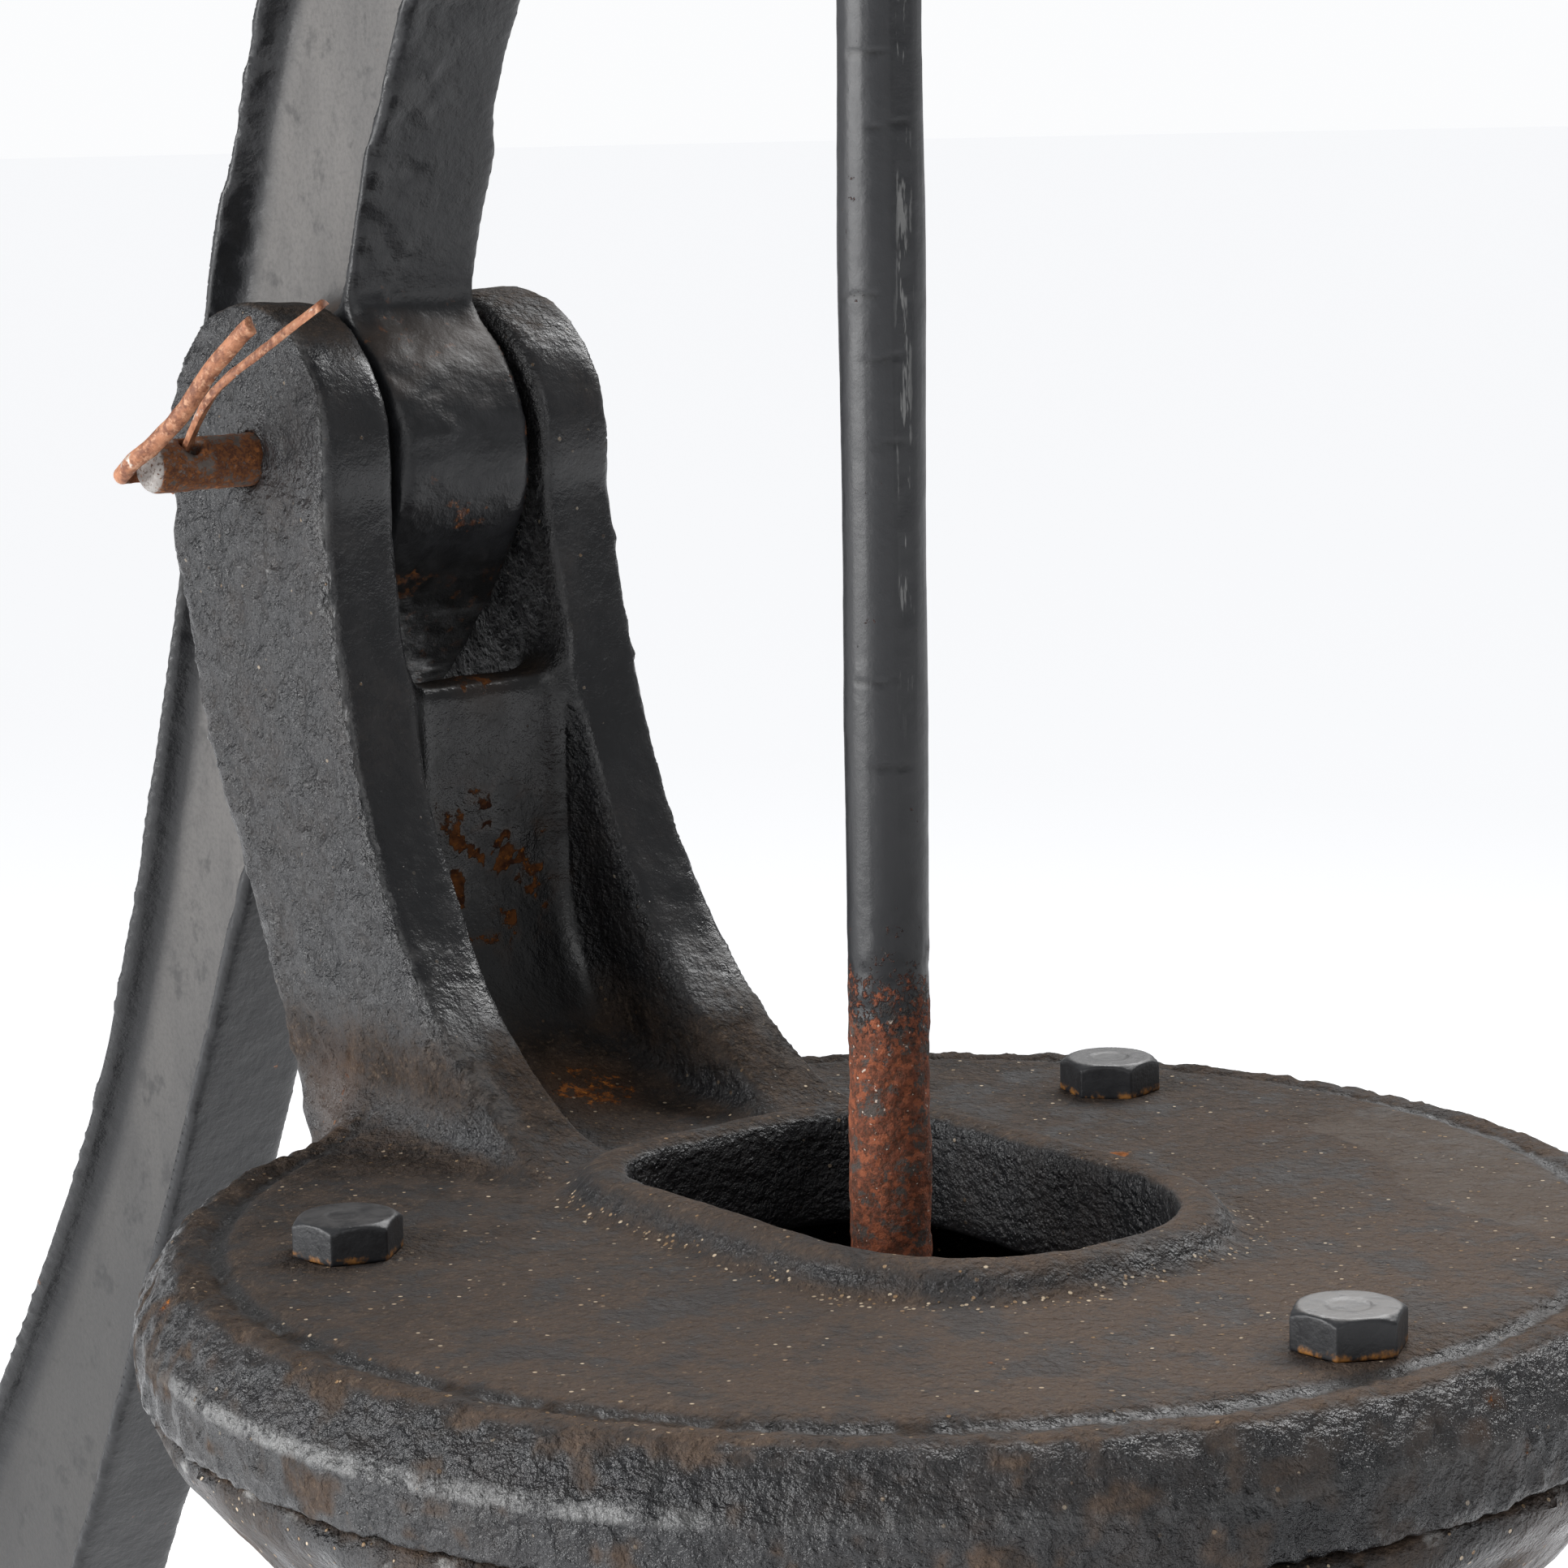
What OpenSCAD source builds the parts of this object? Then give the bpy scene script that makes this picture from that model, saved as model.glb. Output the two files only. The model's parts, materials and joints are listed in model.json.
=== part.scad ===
// Closed-top hand pitcher pump: a cast-iron lift pump worked by a curved lever.
// Millimetres. Origin: centre of the suction inlet at the underside of the foot.
// +Z is up along the barrel, +X points to the spout, Y runs along the fulcrum pin.

/* [Heights] */
// Height of the flat top of the cap above the underside of the foot
cap_z = 355; // [345:1:380]
// Height of the barrel's bottom flange above the underside of the foot
barrel_z = 62; // [60:1:66]
// Height of the lower edge of the barrel's bore taper into the bowl
bowl_z = 240; // [236:1:244]

/* [Foot] */
// Radius of the round foot
foot_r = 84; // [80:1:90]
// Thickness of the foot at its rim
foot_t = 12; // [10:1:14]
// Pitch circle diameter of the holding-down holes
foot_pcd = 142; // [138:1:146]
// Radius of one holding-down hole
foot_hole_r = 5.5; // [4.5:0.5:6.5]
// Radius of the suction pipe socket
inlet_r = 21; // [19:0.5:22]
// Depth of the suction pipe socket
inlet_depth = 30; // [26:1:34]
// Radius of the hole under the flap valve
seat_r = 17; // [15:0.5:18]

/* [Barrel and bowl] */
// Radius of the barrel's bore
bore_r = 38.1; // [38:0.1:40]
// Outer radius of the barrel
barrel_r = 46; // [44:0.5:50]
// Radius of the flanges clamped between barrel and foot
flange_r = 66; // [64:1:70]
// Thickness of each of those flanges
flange_t = 12; // [10:1:14]
// Pitch circle diameter of the flange bolts
flange_pcd = 112; // [110:1:114]
// Outer radius of the bowl's neck
neck_r = 78; // [76:0.5:80]
// Wall thickness of the bowl
wall = 6; // [5:0.5:7]
// Outer radius of the spout tube
spout_r = 25; // [22:0.5:27]
// Inner radius of the spout tube
spout_bore_r = 19; // [16:0.5:20]

/* [Cap and bearer] */
// Outer radius of the cap's rim
cap_r = 101.6; // [100:0.2:104]
// Radius of the flat disc inside the rim's groove
disc_r = 89.5; // [86:0.5:91]
// Height of the cap from its lower edge to its flat top
cap_h = 17; // [16:0.5:18]
// Thickness of the cap's plate
plate_t = 7; // [6:0.5:8]
// Rear end of the rod slot
slot_back = -37; // [-38:1:-30]
// Front end of the rod slot
slot_front = 38; // [36:1:41]
// Half width of the rod slot
slot_half = 25; // [20:0.5:26]
// Height of the lip round the rod slot
lip_h = 4.2; // [2:0.2:5]
// Width of the lip round the rod slot
lip_w = 7; // [4:0.5:8]
// Radius of the circle through the three cap bolts
cap_bolt_at = 76; // [75:0.5:78]
// Distance by which that circle's centre sits in front of the cap's centre
cap_bolt_front = 5; // [0:0.5:6]
// Height of the hex heads on the cap
hex_h = 4.7; // [4.5:0.1:5.4]
// Across-flats size of the hex heads on the cap
hex_af = 12.7; // [12.7:0.1:13]
// Half width of the gap between the bearer's ears
gap_half = 12.6; // [12.4:0.1:13]
// Thickness of one ear
ear_t = 13.4; // [12:0.2:14]
// Outward lean of the ears towards their foot, degrees
ear_flare = 1.6; // [0:0.1:2]
// Height of the web between the ears above the cap's top
web_top = 61.5; // [50:0.5:64]

/* [Fulcrum and lever] */
// Distance of the fulcrum behind the barrel's axis
fulcrum_back = 119.3; // [119:0.1:120]
// Height of the fulcrum above the cap's top
fulcrum_up = 94; // [93:0.5:95]
// Radius of the steel pins of lever and plunger
pin_r = 3.97; // [3.9:0.01:4]
// Radial clearance of a pin that turns
pin_play = 0.08; // [0.04:0.01:0.1]
// Height of the rod pin above the cap's top
rod_pin_up = 188; // [186:1:190]
// Distance of the rod pin behind the barrel's axis
rod_pin_back = 2.5; // [2:0.1:3]
// Radius of the lever's hub
hub_r = 21; // [19:0.5:22]
// Width of the lever's hub
hub_w = 23.4; // [22:0.2:24]
// Width of the lever's flanges
beam_w = 21; // [18:0.5:22]
// Thickness of the lever's flanges
beam_flange = 3.2; // [2.5:0.1:4]
// Thickness of the lever's web
beam_web = 10; // [8:0.5:12]

/* [Rod and plunger] */
// Distance of the rod's axis behind the barrel's axis, at the rod pin
rod_top_back = 1.4; // [0:0.1:3]
// Distance of the rod's axis behind the barrel's axis, at the plunger pin
rod_foot_back = 4.6; // [0:0.1:5]
// Radius of the piston rod
rod_r = 5.55; // [5:0.05:6]
// Height of the plunger pin at the top of the stroke
plunger_pin_z = 250; // [249:1:251]
// Height of the plunger's underside at the top of the stroke
plunger_z = 203; // [202:1:204]
// Gap between the cup leather and the bore
cup_gap = 0.35; // [0.3:0.05:0.5]

/* [Hidden] */
$fn = 64;
eps = 0.01;
rim_z = cap_z - cap_h;
fulcrum = [-fulcrum_back, cap_z + fulcrum_up];
rod_pin_at = [-rod_pin_back, cap_z + rod_pin_up];
leather_t = 4;
leather_z = barrel_z - leather_t;
bolt_r = 3.97;
bolt_hole_r = 4.3;
cap_thread = 16;
lug_r = 10.5;
lug_h = 22;
hex_r = hex_af / 2 / cos(30);
flap_r = 26;
flap_lift_gap = 0.3;
flap_hinge_x = -31;
weight_r = 15;
weight_t = 9;
cotter_y = -35.5;
cotter_tilt = 34;
eye_lag = 10.9;
eye_drop = 3.5;
eye_play = 0.85;

// A point and the left-hand normal on a cubic curve through four control points
function curve(p, t) =
    pow(1 - t, 3) * p[0] + 3 * t * pow(1 - t, 2) * p[1]
    + 3 * t * t * (1 - t) * p[2] + t * t * t * p[3];
function heading(p, t) =
    pow(1 - t, 2) * (p[1] - p[0]) + 2 * t * (1 - t) * (p[2] - p[1]) + t * t * (p[3] - p[2]);
function left_of(p, t) = let (d = heading(p, t)) [-d[1], d[0]] / norm(d);

// Stands an XZ outline up and gives it a thickness centred on y
module upright(t, y = 0) {
    translate([0, y + t / 2, 0])
        rotate([90, 0, 0])
            linear_extrude(t)
                children();
}

// Cylinder along Y, centred on y
module cross_cylinder(r, length, at, y = 0) {
    translate([at[0], y + length / 2, at[1]])
        rotate([90, 0, 0])
            cylinder(r = r, h = length);
}

// Places of the three cap bolts, seen from above
module at_cap_bolts() {
    translate([cap_bolt_front, 0, 0])
        ring_of(3, cap_bolt_at)
            children();
}

module ring_of(count, r, start = 0) {
    for (i = [0 : count - 1])
        rotate(start + i * 360 / count)
            translate([r, 0, 0])
                children();
}

// ---------- foot and suction valve ----------

module base_foot() {
    hub_r0 = inlet_r + 13;
    color("#26272a")
        difference() {
            rotate_extrude()
                polygon([
                    [0, 0], [foot_r, 0], [foot_r, foot_t - 2], [foot_r - 2, foot_t],
                    [foot_r - 26, foot_t + 3], [hub_r0 + 4, foot_t + 12], [hub_r0, foot_t + 22],
                    [hub_r0, leather_z - flange_t - 6], [hub_r0 + 6, leather_z - flange_t],
                    [flange_r, leather_z - flange_t], [flange_r, leather_z], [0, leather_z]
                ]);
            translate([0, 0, -1])
                cylinder(r = inlet_r, h = inlet_depth + 1);
            cylinder(r = seat_r, h = barrel_z);
            ring_of(4, foot_pcd / 2)
                translate([0, 0, -1])
                    cylinder(r = foot_hole_r, h = foot_t + 8);
            ring_of(4, flange_pcd / 2, 45)
                translate([0, 0, leather_z - flange_t - 1])
                    cylinder(r = bolt_hole_r, h = flange_t + 2);
        }
}

module valve_gasket() {
    color("#5b4026")
        difference() {
            translate([0, 0, leather_z])
                cylinder(r = flange_r - 0.5, h = leather_t);
            translate([0, 0, leather_z - 1])
                cylinder(r = bore_r, h = leather_t + 2);
            ring_of(4, flange_pcd / 2, 45)
                translate([0, 0, leather_z - 1])
                    cylinder(r = bolt_hole_r, h = leather_t + 2);
        }
}

module flange_bolts() {
    color("#2c2d30")
        ring_of(4, flange_pcd / 2, 45) {
            translate([0, 0, barrel_z + flange_t])
                cylinder(r = hex_r, h = 5.4, $fn = 6);
            translate([0, 0, leather_z - flange_t - 9])
                cylinder(r = bolt_r, h = leather_t + 2 * flange_t + 9 + eps);
        }
}

module flange_nuts() {
    color("#2c2d30")
        ring_of(4, flange_pcd / 2, 45)
            translate([0, 0, leather_z - flange_t - 6.8])
                difference() {
                    cylinder(r = hex_r, h = 6.8, $fn = 6);
                    translate([0, 0, -1])
                        cylinder(r = bolt_r, h = 9);
                }
}

module flap_leather() {
    low = leather_z + flap_lift_gap;
    color("#6a4a2c")
        difference() {
            union() {
                translate([0, 0, low])
                    cylinder(r = flap_r, h = leather_t);
                translate([flap_hinge_x, -11, low])
                    cube([14, 22, leather_t]);
            }
            translate([0, 0, low - 1])
                cylinder(r = 3.2, h = leather_t + 2);
        }
}

module flap_weight() {
    color("#34353a")
        translate([0, 0, leather_z + flap_lift_gap + leather_t])
            difference() {
                cylinder(r = weight_r, h = weight_t);
                translate([0, 0, -1])
                    cylinder(r = 3.2, h = weight_t + 2);
            }
}

// Round-headed bolt that pulls the weight down on the leather
module flap_bolt() {
    low = leather_z + flap_lift_gap;
    color("#7a6a55") {
        translate([0, 0, low - 2.5])
            cylinder(r = 12, h = 2.5);
        translate([0, 0, low - eps])
            cylinder(r = 3, h = leather_t + weight_t + 4.5);
    }
}

module flap_nut() {
    color("#7a6a55")
        translate([0, 0, leather_z + flap_lift_gap + leather_t + weight_t])
            difference() {
                cylinder(r = 6.4, h = 3.2, $fn = 6);
                translate([0, 0, -1])
                    cylinder(r = 3, h = 6);
            }
}

// ---------- barrel, bowl and spout ----------

// Straight run and downward bend that tube and bore of the spout share, and its wider mouth
module spout_path(r, mouth_r, lengthen = 0) {
    straight = 46;
    bend_r = 44;
    bend = 58;
    mouth = 14;
    translate([neck_r - 14 - lengthen, 0, bowl_z + 46]) {
        rotate([0, 90, 0])
            cylinder(r = r, h = straight + lengthen);
        translate([straight + lengthen, 0, -bend_r]) {
            rotate([90, 0, 0])
                rotate_extrude(start = 90 - bend, angle = bend)
                    translate([bend_r, 0])
                        circle(r = r);
            rotate([0, bend, 0])
                translate([-3, 0, bend_r])
                    rotate([0, 90, 0])
                        cylinder(r = mouth_r, h = mouth + 3 + lengthen);
        }
    }
}

module pump_body() {
    bell_z = cap_z - 43.5;
    lug_top = rim_z;
    color("#232427")
        difference() {
            union() {
                rotate_extrude()
                    polygon([
                        [0, barrel_z], [flange_r, barrel_z], [flange_r, barrel_z + flange_t],
                        [barrel_r + 2.4, barrel_z + flange_t], [barrel_r, barrel_z + flange_t + 6],
                        [barrel_r, bowl_z - 4], [barrel_r + 4, bowl_z + 5],
                        [barrel_r + 16, bowl_z + 16], [neck_r - 6, bowl_z + 26],
                        [neck_r - 1, bowl_z + 34], [neck_r, bowl_z + 42],
                        [neck_r, bell_z], [82.5, cap_z - 40], [88.5, cap_z - 35],
                        [94.5, cap_z - 28], [98.2, cap_z - 23.5], [100.6, cap_z - 19.5],
                        [cap_r - 0.4, rim_z], [0, rim_z]
                    ]);
                spout_path(spout_r, spout_r + 2.5);
            }
            bowl_hollow(bell_z, lug_top);
            spout_path(spout_bore_r, spout_bore_r + 0.8, 10);
            at_cap_bolts()
                translate([0, 0, rim_z - cap_thread])
                    cylinder(r = bolt_r + 0.05, h = 30);
            ring_of(4, flange_pcd / 2, 45)
                translate([0, 0, barrel_z - 1])
                    cylinder(r = bolt_hole_r, h = flange_t + 2);
        }
}

// Space inside barrel and bowl, with the three lugs for the cap bolts left standing
module bowl_hollow(bell_z, lug_top) {
    difference() {
        rotate_extrude()
            polygon([
                [0, barrel_z - 1], [bore_r, barrel_z - 1], [bore_r, bowl_z], [barrel_r + 10, bowl_z + 18],
                [neck_r - wall - 5, bowl_z + 30], [neck_r - wall, bowl_z + 42],
                [neck_r - wall, bell_z + 3], [84, cap_z - 31], [91, cap_z - 24],
                [94.5, rim_z], [94.5, rim_z + 2], [0, rim_z + 2]
            ]);
        at_cap_bolts() {
            translate([0, 0, lug_top - lug_h])
                cylinder(r = lug_r, h = lug_h);
            translate([0, -lug_r, lug_top - lug_h])
                cube([24, 2 * lug_r, lug_h]);
        }
    }
}

// ---------- cap with cast-on bearer ----------

module slot_outline(grow) {
    front_r = 22 + grow;
    back_r = 14 + grow;
    x0 = slot_back - grow;
    x1 = slot_front + grow;
    half = slot_half + grow;
    for (s = [-1, 1]) {
        translate([x1 - front_r, s * (half - front_r)])
            circle(r = front_r);
        translate([x0 + back_r, s * (half - back_r)])
            circle(r = back_r);
    }
    translate([x0 + back_r, -half])
        square([x1 - front_r - x0 - back_r, 2 * half]);
    translate([x1 - front_r - 1, front_r - half])
        square([front_r + 1, 2 * (half - front_r)]);
    translate([x0, back_r - half])
        square([back_r + 1, 2 * (half - back_r)]);
}

module ear_outline() {
    top_r = 22.5;
    steps = 14;
    front = [[-98.3, 92], [-94, 50], [-82, 14], [-43, 0]];
    rear = [[-141.5, 92], [-143, 60], [-120, 35], [-104.5, -6]];
    translate([-fulcrum_back - 0.3, fulcrum_up])
        circle(r = top_r);
    polygon(concat(
        [for (i = [0 : steps]) curve(front, i / steps)],
        [[-43, -plate_t + 1], [-88, -cap_h + 1], [-97, -cap_h + 1]],
        [for (i = [steps : -1 : 0]) curve(rear, i / steps)]
    ));
}

module web_outline() {
    steps = 10;
    sweep = [[-96, 34], [-95, 12], [-84, 1], [-58, 0]];
    polygon(concat(
        [[-104.5, web_top], [-96, web_top]],
        [for (i = [0 : steps]) curve(sweep, i / steps)],
        [[-58, -2], [-94, -cap_h + 1], [-101, -6], [-108, 20]]
    ));
}

module cap_shell() {
    rotate_extrude()
        polygon([
            [0, -plate_t], [disc_r - 9, -plate_t], [94.5, -plate_t - 5], [94.5, -cap_h],
            [cap_r - 0.4, -cap_h], [cap_r, -cap_h + 1], [cap_r, -8.6], [cap_r - 1.3, -6.6],
            [cap_r - 3, -3.9], [cap_r - 5.1, -1.3], [cap_r - 7.1, -0.3], [cap_r - 9.6, -0.6],
            [disc_r + 1.3, -1.4], [disc_r + 0.3, -1.4], [disc_r - 0.6, 0], [0, 0]
        ]);
    at_cap_bolts()
        translate([0, 0, -cap_h])
            cylinder(r = 10, h = cap_h - plate_t + eps);
}

module cap_bearer() {
    color("#2d2b29")
        difference() {
            translate([0, 0, cap_z])
                difference() {
                    union() {
                        cap_shell();
                        linear_extrude(lip_h * 0.7)
                            slot_outline(lip_w);
                        linear_extrude(lip_h)
                            slot_outline(lip_w - 1.8);
                        translate([0, 0, -13])
                            linear_extrude(13)
                                slot_outline(5);
                        for (s = [-1, 1])
                            translate([0, 0, fulcrum_up])
                                rotate([s * ear_flare, 0, 0])
                                    translate([0, 0, -fulcrum_up])
                                        upright(ear_t, s * (gap_half + ear_t / 2))
                                            ear_outline();
                        upright(2 * gap_half + 6)
                            web_outline();
                    }
                    translate([0, 0, -30])
                        linear_extrude(60)
                            slot_outline(0);
                    at_cap_bolts()
                        translate([0, 0, -cap_h - 1])
                            cylinder(r = bolt_hole_r, h = cap_h + 2);
                }
            cross_cylinder(pin_r, 90, fulcrum);
        }
}

module cap_bolts() {
    color("#303236")
        translate([0, 0, cap_z])
            at_cap_bolts() {
                cylinder(r = hex_r, h = hex_h, $fn = 6);
                translate([0, 0, -cap_h - cap_thread + 2])
                    cylinder(r = bolt_r, h = cap_h + cap_thread - 2 + eps);
            }
}

module fulcrum_pin() {
    near_end = -42;
    far_face = gap_half + ear_t + 0.35;
    color("#4d3a2e")
        difference() {
            union() {
                cross_cylinder(pin_r, far_face - near_end - 1, fulcrum, (far_face + near_end + 1) / 2);
                translate([fulcrum[0], near_end + 1 + eps, fulcrum[1]])
                    rotate([90, 0, 0])
                        cylinder(r1 = pin_r, r2 = pin_r - 1, h = 1);
                cross_cylinder(7, 4, fulcrum, far_face + 2 - eps);
            }
            translate([fulcrum[0], cotter_y, fulcrum[1]])
                rotate([0, cotter_tilt, 0])
                    cylinder(r = 1.6, h = 20, center = true);
        }
}

// A bent wire swept along its points, with a flat cut at each end
module wire(points, r, sides = 10) {
    last = len(points) - 1;
    function along(i) = points[min(i + 1, last)] - points[max(i - 1, 0)];
    function across(i) = cross(along(i), [0.3, 1, 0.2]);
    rings = [for (i = [0 : last])
        let (u = across(i) / norm(across(i)), v = cross(along(i), u) / norm(along(i)))
        for (k = [0 : sides - 1])
            points[i] + r * (cos(360 * k / sides) * u + sin(360 * k / sides) * v)];
    skin = [for (i = [0 : last - 1], k = [0 : sides - 1])
        let (n = (k + 1) % sides)
        [i * sides + k, i * sides + n, (i + 1) * sides + n, (i + 1) * sides + k]];
    ends = [[for (k = [sides - 1 : -1 : 0]) k], [for (k = [0 : sides - 1]) last * sides + k]];
    polyhedron(points = rings, faces = concat(skin, ends));
}

// Split pin: both legs start below the fulcrum pin, one goes through it and one round its end
module fulcrum_cotter() {
    y = cotter_y;
    color("#a8643c")
        translate([fulcrum[0], 0, fulcrum[1]]) {
            wire([[-4.6, y, -7], [-2.3, y, -3.4], [0, y, 0], [2.3, y, 3.4], [8.4, y - 0.3, 9.1],
                [13.3, y + 1, 13], [18.9, y + 3, 16.6], [23.9, y + 4.5, 19.7], [30.4, y + 6, 23.3]], 1.1);
            wire([[-6, y - 0.6, -6.6], [-5.6, y - 3.6, -5.4], [-3.6, -43.2, -3.2], [-1.2, -44.8, -1.2],
                [2, -44.8, 1.2], [5.6, -43.7, 3.5], [12, -42, 8.6], [16.8, -40.5, 14],
                [23.2, -39, 19.4], [25.8, -38.4, 21.1]], 1.2);
        }
}

// ---------- lever ----------

lever_rise = [[-126, 137], [-97, 217], [-50, 203], [-rod_pin_back, rod_pin_up]];
lever_drop = [[-126, 137], [-179, -20], [-201, -49], [-285, -170]];
hub_throat = [[-122, 94], [-101, 84], [-109, 71], [-119, 60], [-145, 38], [-150, 62]];
function rise_depth(t) = 40 - 14 * t;
function drop_depth(t) = 35 + 6 * cos(400 * t);

// One edge of the lever, from the grip over the crown to the rod end
function lever_edge(side, inset) = let (n = 18) concat(
    [for (i = [n : -1 : 1]) let (t = i / n)
        curve(lever_drop, t) - side * (drop_depth(t) / 2 - inset) * left_of(lever_drop, t)],
    [for (i = [0 : n]) let (t = i / n)
        curve(lever_rise, t) + side * (rise_depth(t) / 2 - inset) * left_of(lever_rise, t)]
);

function reversed(list) = [for (i = [len(list) - 1 : -1 : 0]) list[i]];

module lever_outline(inset) {
    translate([0, cap_z])
        polygon(concat(lever_edge(1, inset), reversed(lever_edge(-1, inset))));
}

module handle_lever() {
    fork_gap = 12;
    fork_w = 24;
    grip = lever_drop[3] + [0, cap_z];
    color("#2a2b2d")
        difference() {
            union() {
                upright(beam_web)
                    lever_outline(0);
                upright(beam_w)
                    difference() {
                        lever_outline(0);
                        lever_outline(beam_flange);
                    }
                upright(hub_w - 0.6)
                    intersection() {
                        difference() {
                            lever_outline(0);
                            lever_outline(beam_flange);
                        }
                        translate(fulcrum)
                            circle(r = 48);
                    }
                upright(hub_w - 0.8)
                    translate([0, cap_z])
                        polygon(hub_throat);
                cross_cylinder(hub_r, hub_w, fulcrum);
                cross_cylinder(14, fork_w, rod_pin_at);
                upright(fork_w)
                    intersection() {
                        lever_outline(0);
                        translate([rod_pin_at[0] - 34, rod_pin_at[1] - 30])
                            square([34, 60]);
                    }
                cross_cylinder(18, beam_w, grip);
            }
            cross_cylinder(pin_r + pin_play, 60, fulcrum);
            cross_cylinder(pin_r, 60, rod_pin_at);
            translate([rod_pin_at[0] - 20, -fork_gap / 2, rod_pin_at[1] - 40])
                cube([60, fork_gap, 80]);
        }
}

module rod_pin() {
    color("#4d3a2e")
        difference() {
            union() {
                cross_cylinder(pin_r, 34, rod_pin_at, -5);
                cross_cylinder(6.5, 3.5, rod_pin_at, 12 + 1.75);
            }
            translate([rod_pin_at[0], -17.5, rod_pin_at[1] - 10])
                cylinder(r = 2.1, h = 20);
        }
}

module rod_pin_cotter() {
    color("#a8643c")
        translate([rod_pin_at[0], -17.5, rod_pin_at[1]])
            wire([[6, -3, 12], [2.4, -1, 9], [1.05, 0, 4], [1.05, 0, -5], [2.6, 0, -8], [0, 0, -11],
                [-2.6, 0, -8], [-1.05, 0, -5], [-1.05, 0, 4], [-2.2, -1, 9], [-6, -3, 12]], 0.9);
}

// ---------- rod ----------

module pump_rod() {
    eye_top = plunger_pin_z + 22;
    length = rod_pin_at[1] - 9 - eye_top;
    tilt = atan2(rod_foot_back - rod_top_back, rod_pin_at[1] - plunger_pin_z);
    color("#303236")
        difference() {
            union() {
                translate([-rod_top_back, 0, rod_pin_at[1]])
                    rotate([0, tilt, 0])
                        translate([0, 0, -9 - length])
                            cylinder(r = rod_r, h = length);
                cross_cylinder(12.5, 10.8, rod_pin_at);
            }
            cross_cylinder(pin_r + pin_play, 30, rod_pin_at);
        }
}

// Forged eye at the foot of the rod; its long hole leaves the pin room to wander
module rod_eye() {
    centre = [-eye_lag / 2, plunger_pin_z - eye_drop / 2];
    half_x = eye_lag / 2 + pin_r + eye_play;
    half_z = eye_drop / 2 + pin_r + eye_play;
    metal = 7;
    color("#3a3733")
        difference() {
            union() {
                upright(12)
                    translate(centre)
                        long_hole(half_x + metal, half_z + metal);
                translate([-rod_foot_back + 0.2, 0, plunger_pin_z + 9])
                    cylinder(r = 8.6, h = 17);
            }
            upright(20)
                translate(centre)
                    long_hole(half_x, half_z);
            translate([-rod_foot_back + 0.3, 0, plunger_pin_z + 21.9])
                cylinder(r = rod_r + 0.05, h = 20);
        }
}

module long_hole(half_x, half_z) {
    for (s = [-1, 1])
        translate([s * (half_x - half_z), 0])
            circle(r = half_z);
    translate([half_z - half_x, -half_z])
        square([2 * (half_x - half_z), 2 * half_z]);
}

module rod_locknut() {
    color("#3a3733")
        translate([-rod_foot_back + 0.35, 0, plunger_pin_z + 26])
            difference() {
                cylinder(r = 9.8, h = 7, $fn = 6);
                translate([0, 0, -1])
                    cylinder(r = rod_r + 0.12, h = 9);
            }
}

// ---------- plunger ----------

cage_r = 29;
cup_z = plunger_z + 6;
cup_t = 3.5;
tube_r = 16.5;
cage_z = cup_z + cup_t;

module plunger_follower() {
    color("#3c3a36")
        difference() {
            union() {
                translate([0, 0, plunger_z])
                    cylinder(r = cage_r, h = 6);
                translate([0, 0, plunger_z])
                    cylinder(r = tube_r, h = 16);
            }
            difference() {
                translate([0, 0, plunger_z - 1])
                    cylinder(r = tube_r - 4, h = 20);
                translate([0, 0, plunger_z])
                    cylinder(r = 6, h = 5);
                for (a = [0, 60, 120])
                    rotate(a)
                        translate([-tube_r, -1.75, plunger_z])
                            cube([2 * tube_r, 3.5, 5]);
            }
            translate([0, 0, plunger_z - 1])
                cylinder(r = 3.4, h = 10);
        }
}

module cup_leather() {
    color("#6a4a2c")
        translate([0, 0, cup_z])
            difference() {
                cylinder(r = bore_r - cup_gap, h = 22);
                translate([0, 0, cup_t])
                    cylinder(r = bore_r - cup_gap - 3.5, h = 22);
                translate([0, 0, -1])
                    cylinder(r = tube_r, h = 10);
            }
}

// Clamp ring with a bail that carries the cross pin
module plunger_cage() {
    bail_y = 17;
    bail_t = 6;
    color("#3c3a36")
        difference() {
            union() {
                translate([0, 0, cage_z])
                    cylinder(r = cage_r, h = 6);
                for (s = [-1, 1]) {
                    translate([-7, s * (bail_y + bail_t / 2) - bail_t / 2, cage_z])
                        cube([14, bail_t, plunger_pin_z - cage_z]);
                    cross_cylinder(8.5, bail_t, [0, plunger_pin_z], s * (bail_y + bail_t / 2));
                }
            }
            translate([0, 0, cage_z - 1])
                cylinder(r = tube_r, h = 8);
            cross_cylinder(pin_r, 60, [0, plunger_pin_z]);
        }
}

module plunger_pin() {
    color("#7a6a55")
        cross_cylinder(pin_r, 46, [0, plunger_pin_z]);
}

// Washers riveted over both ends of the plunger pin
module plunger_rivets() {
    color("#7a6a55")
        for (s = [-1, 1])
            cross_cylinder(6, 2, [0, plunger_pin_z], s * 24);
}

module poppet_valve() {
    seat_z = plunger_z + 16;
    color("#7d6b3a") {
        translate([0, 0, seat_z + 2.3])
            cylinder(r = 14.5, h = 4);
        translate([0, 0, plunger_z - 4])
            cylinder(r = 3, h = seat_z + 2.4 - plunger_z + 4);
    }
}

module poppet_facing() {
    seat_z = plunger_z + 16;
    color("#5b4026")
        translate([0, 0, seat_z + 0.3])
            difference() {
                cylinder(r = 14.5, h = 2);
                translate([0, 0, -1])
                    cylinder(r = 3, h = 4);
            }
}

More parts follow.
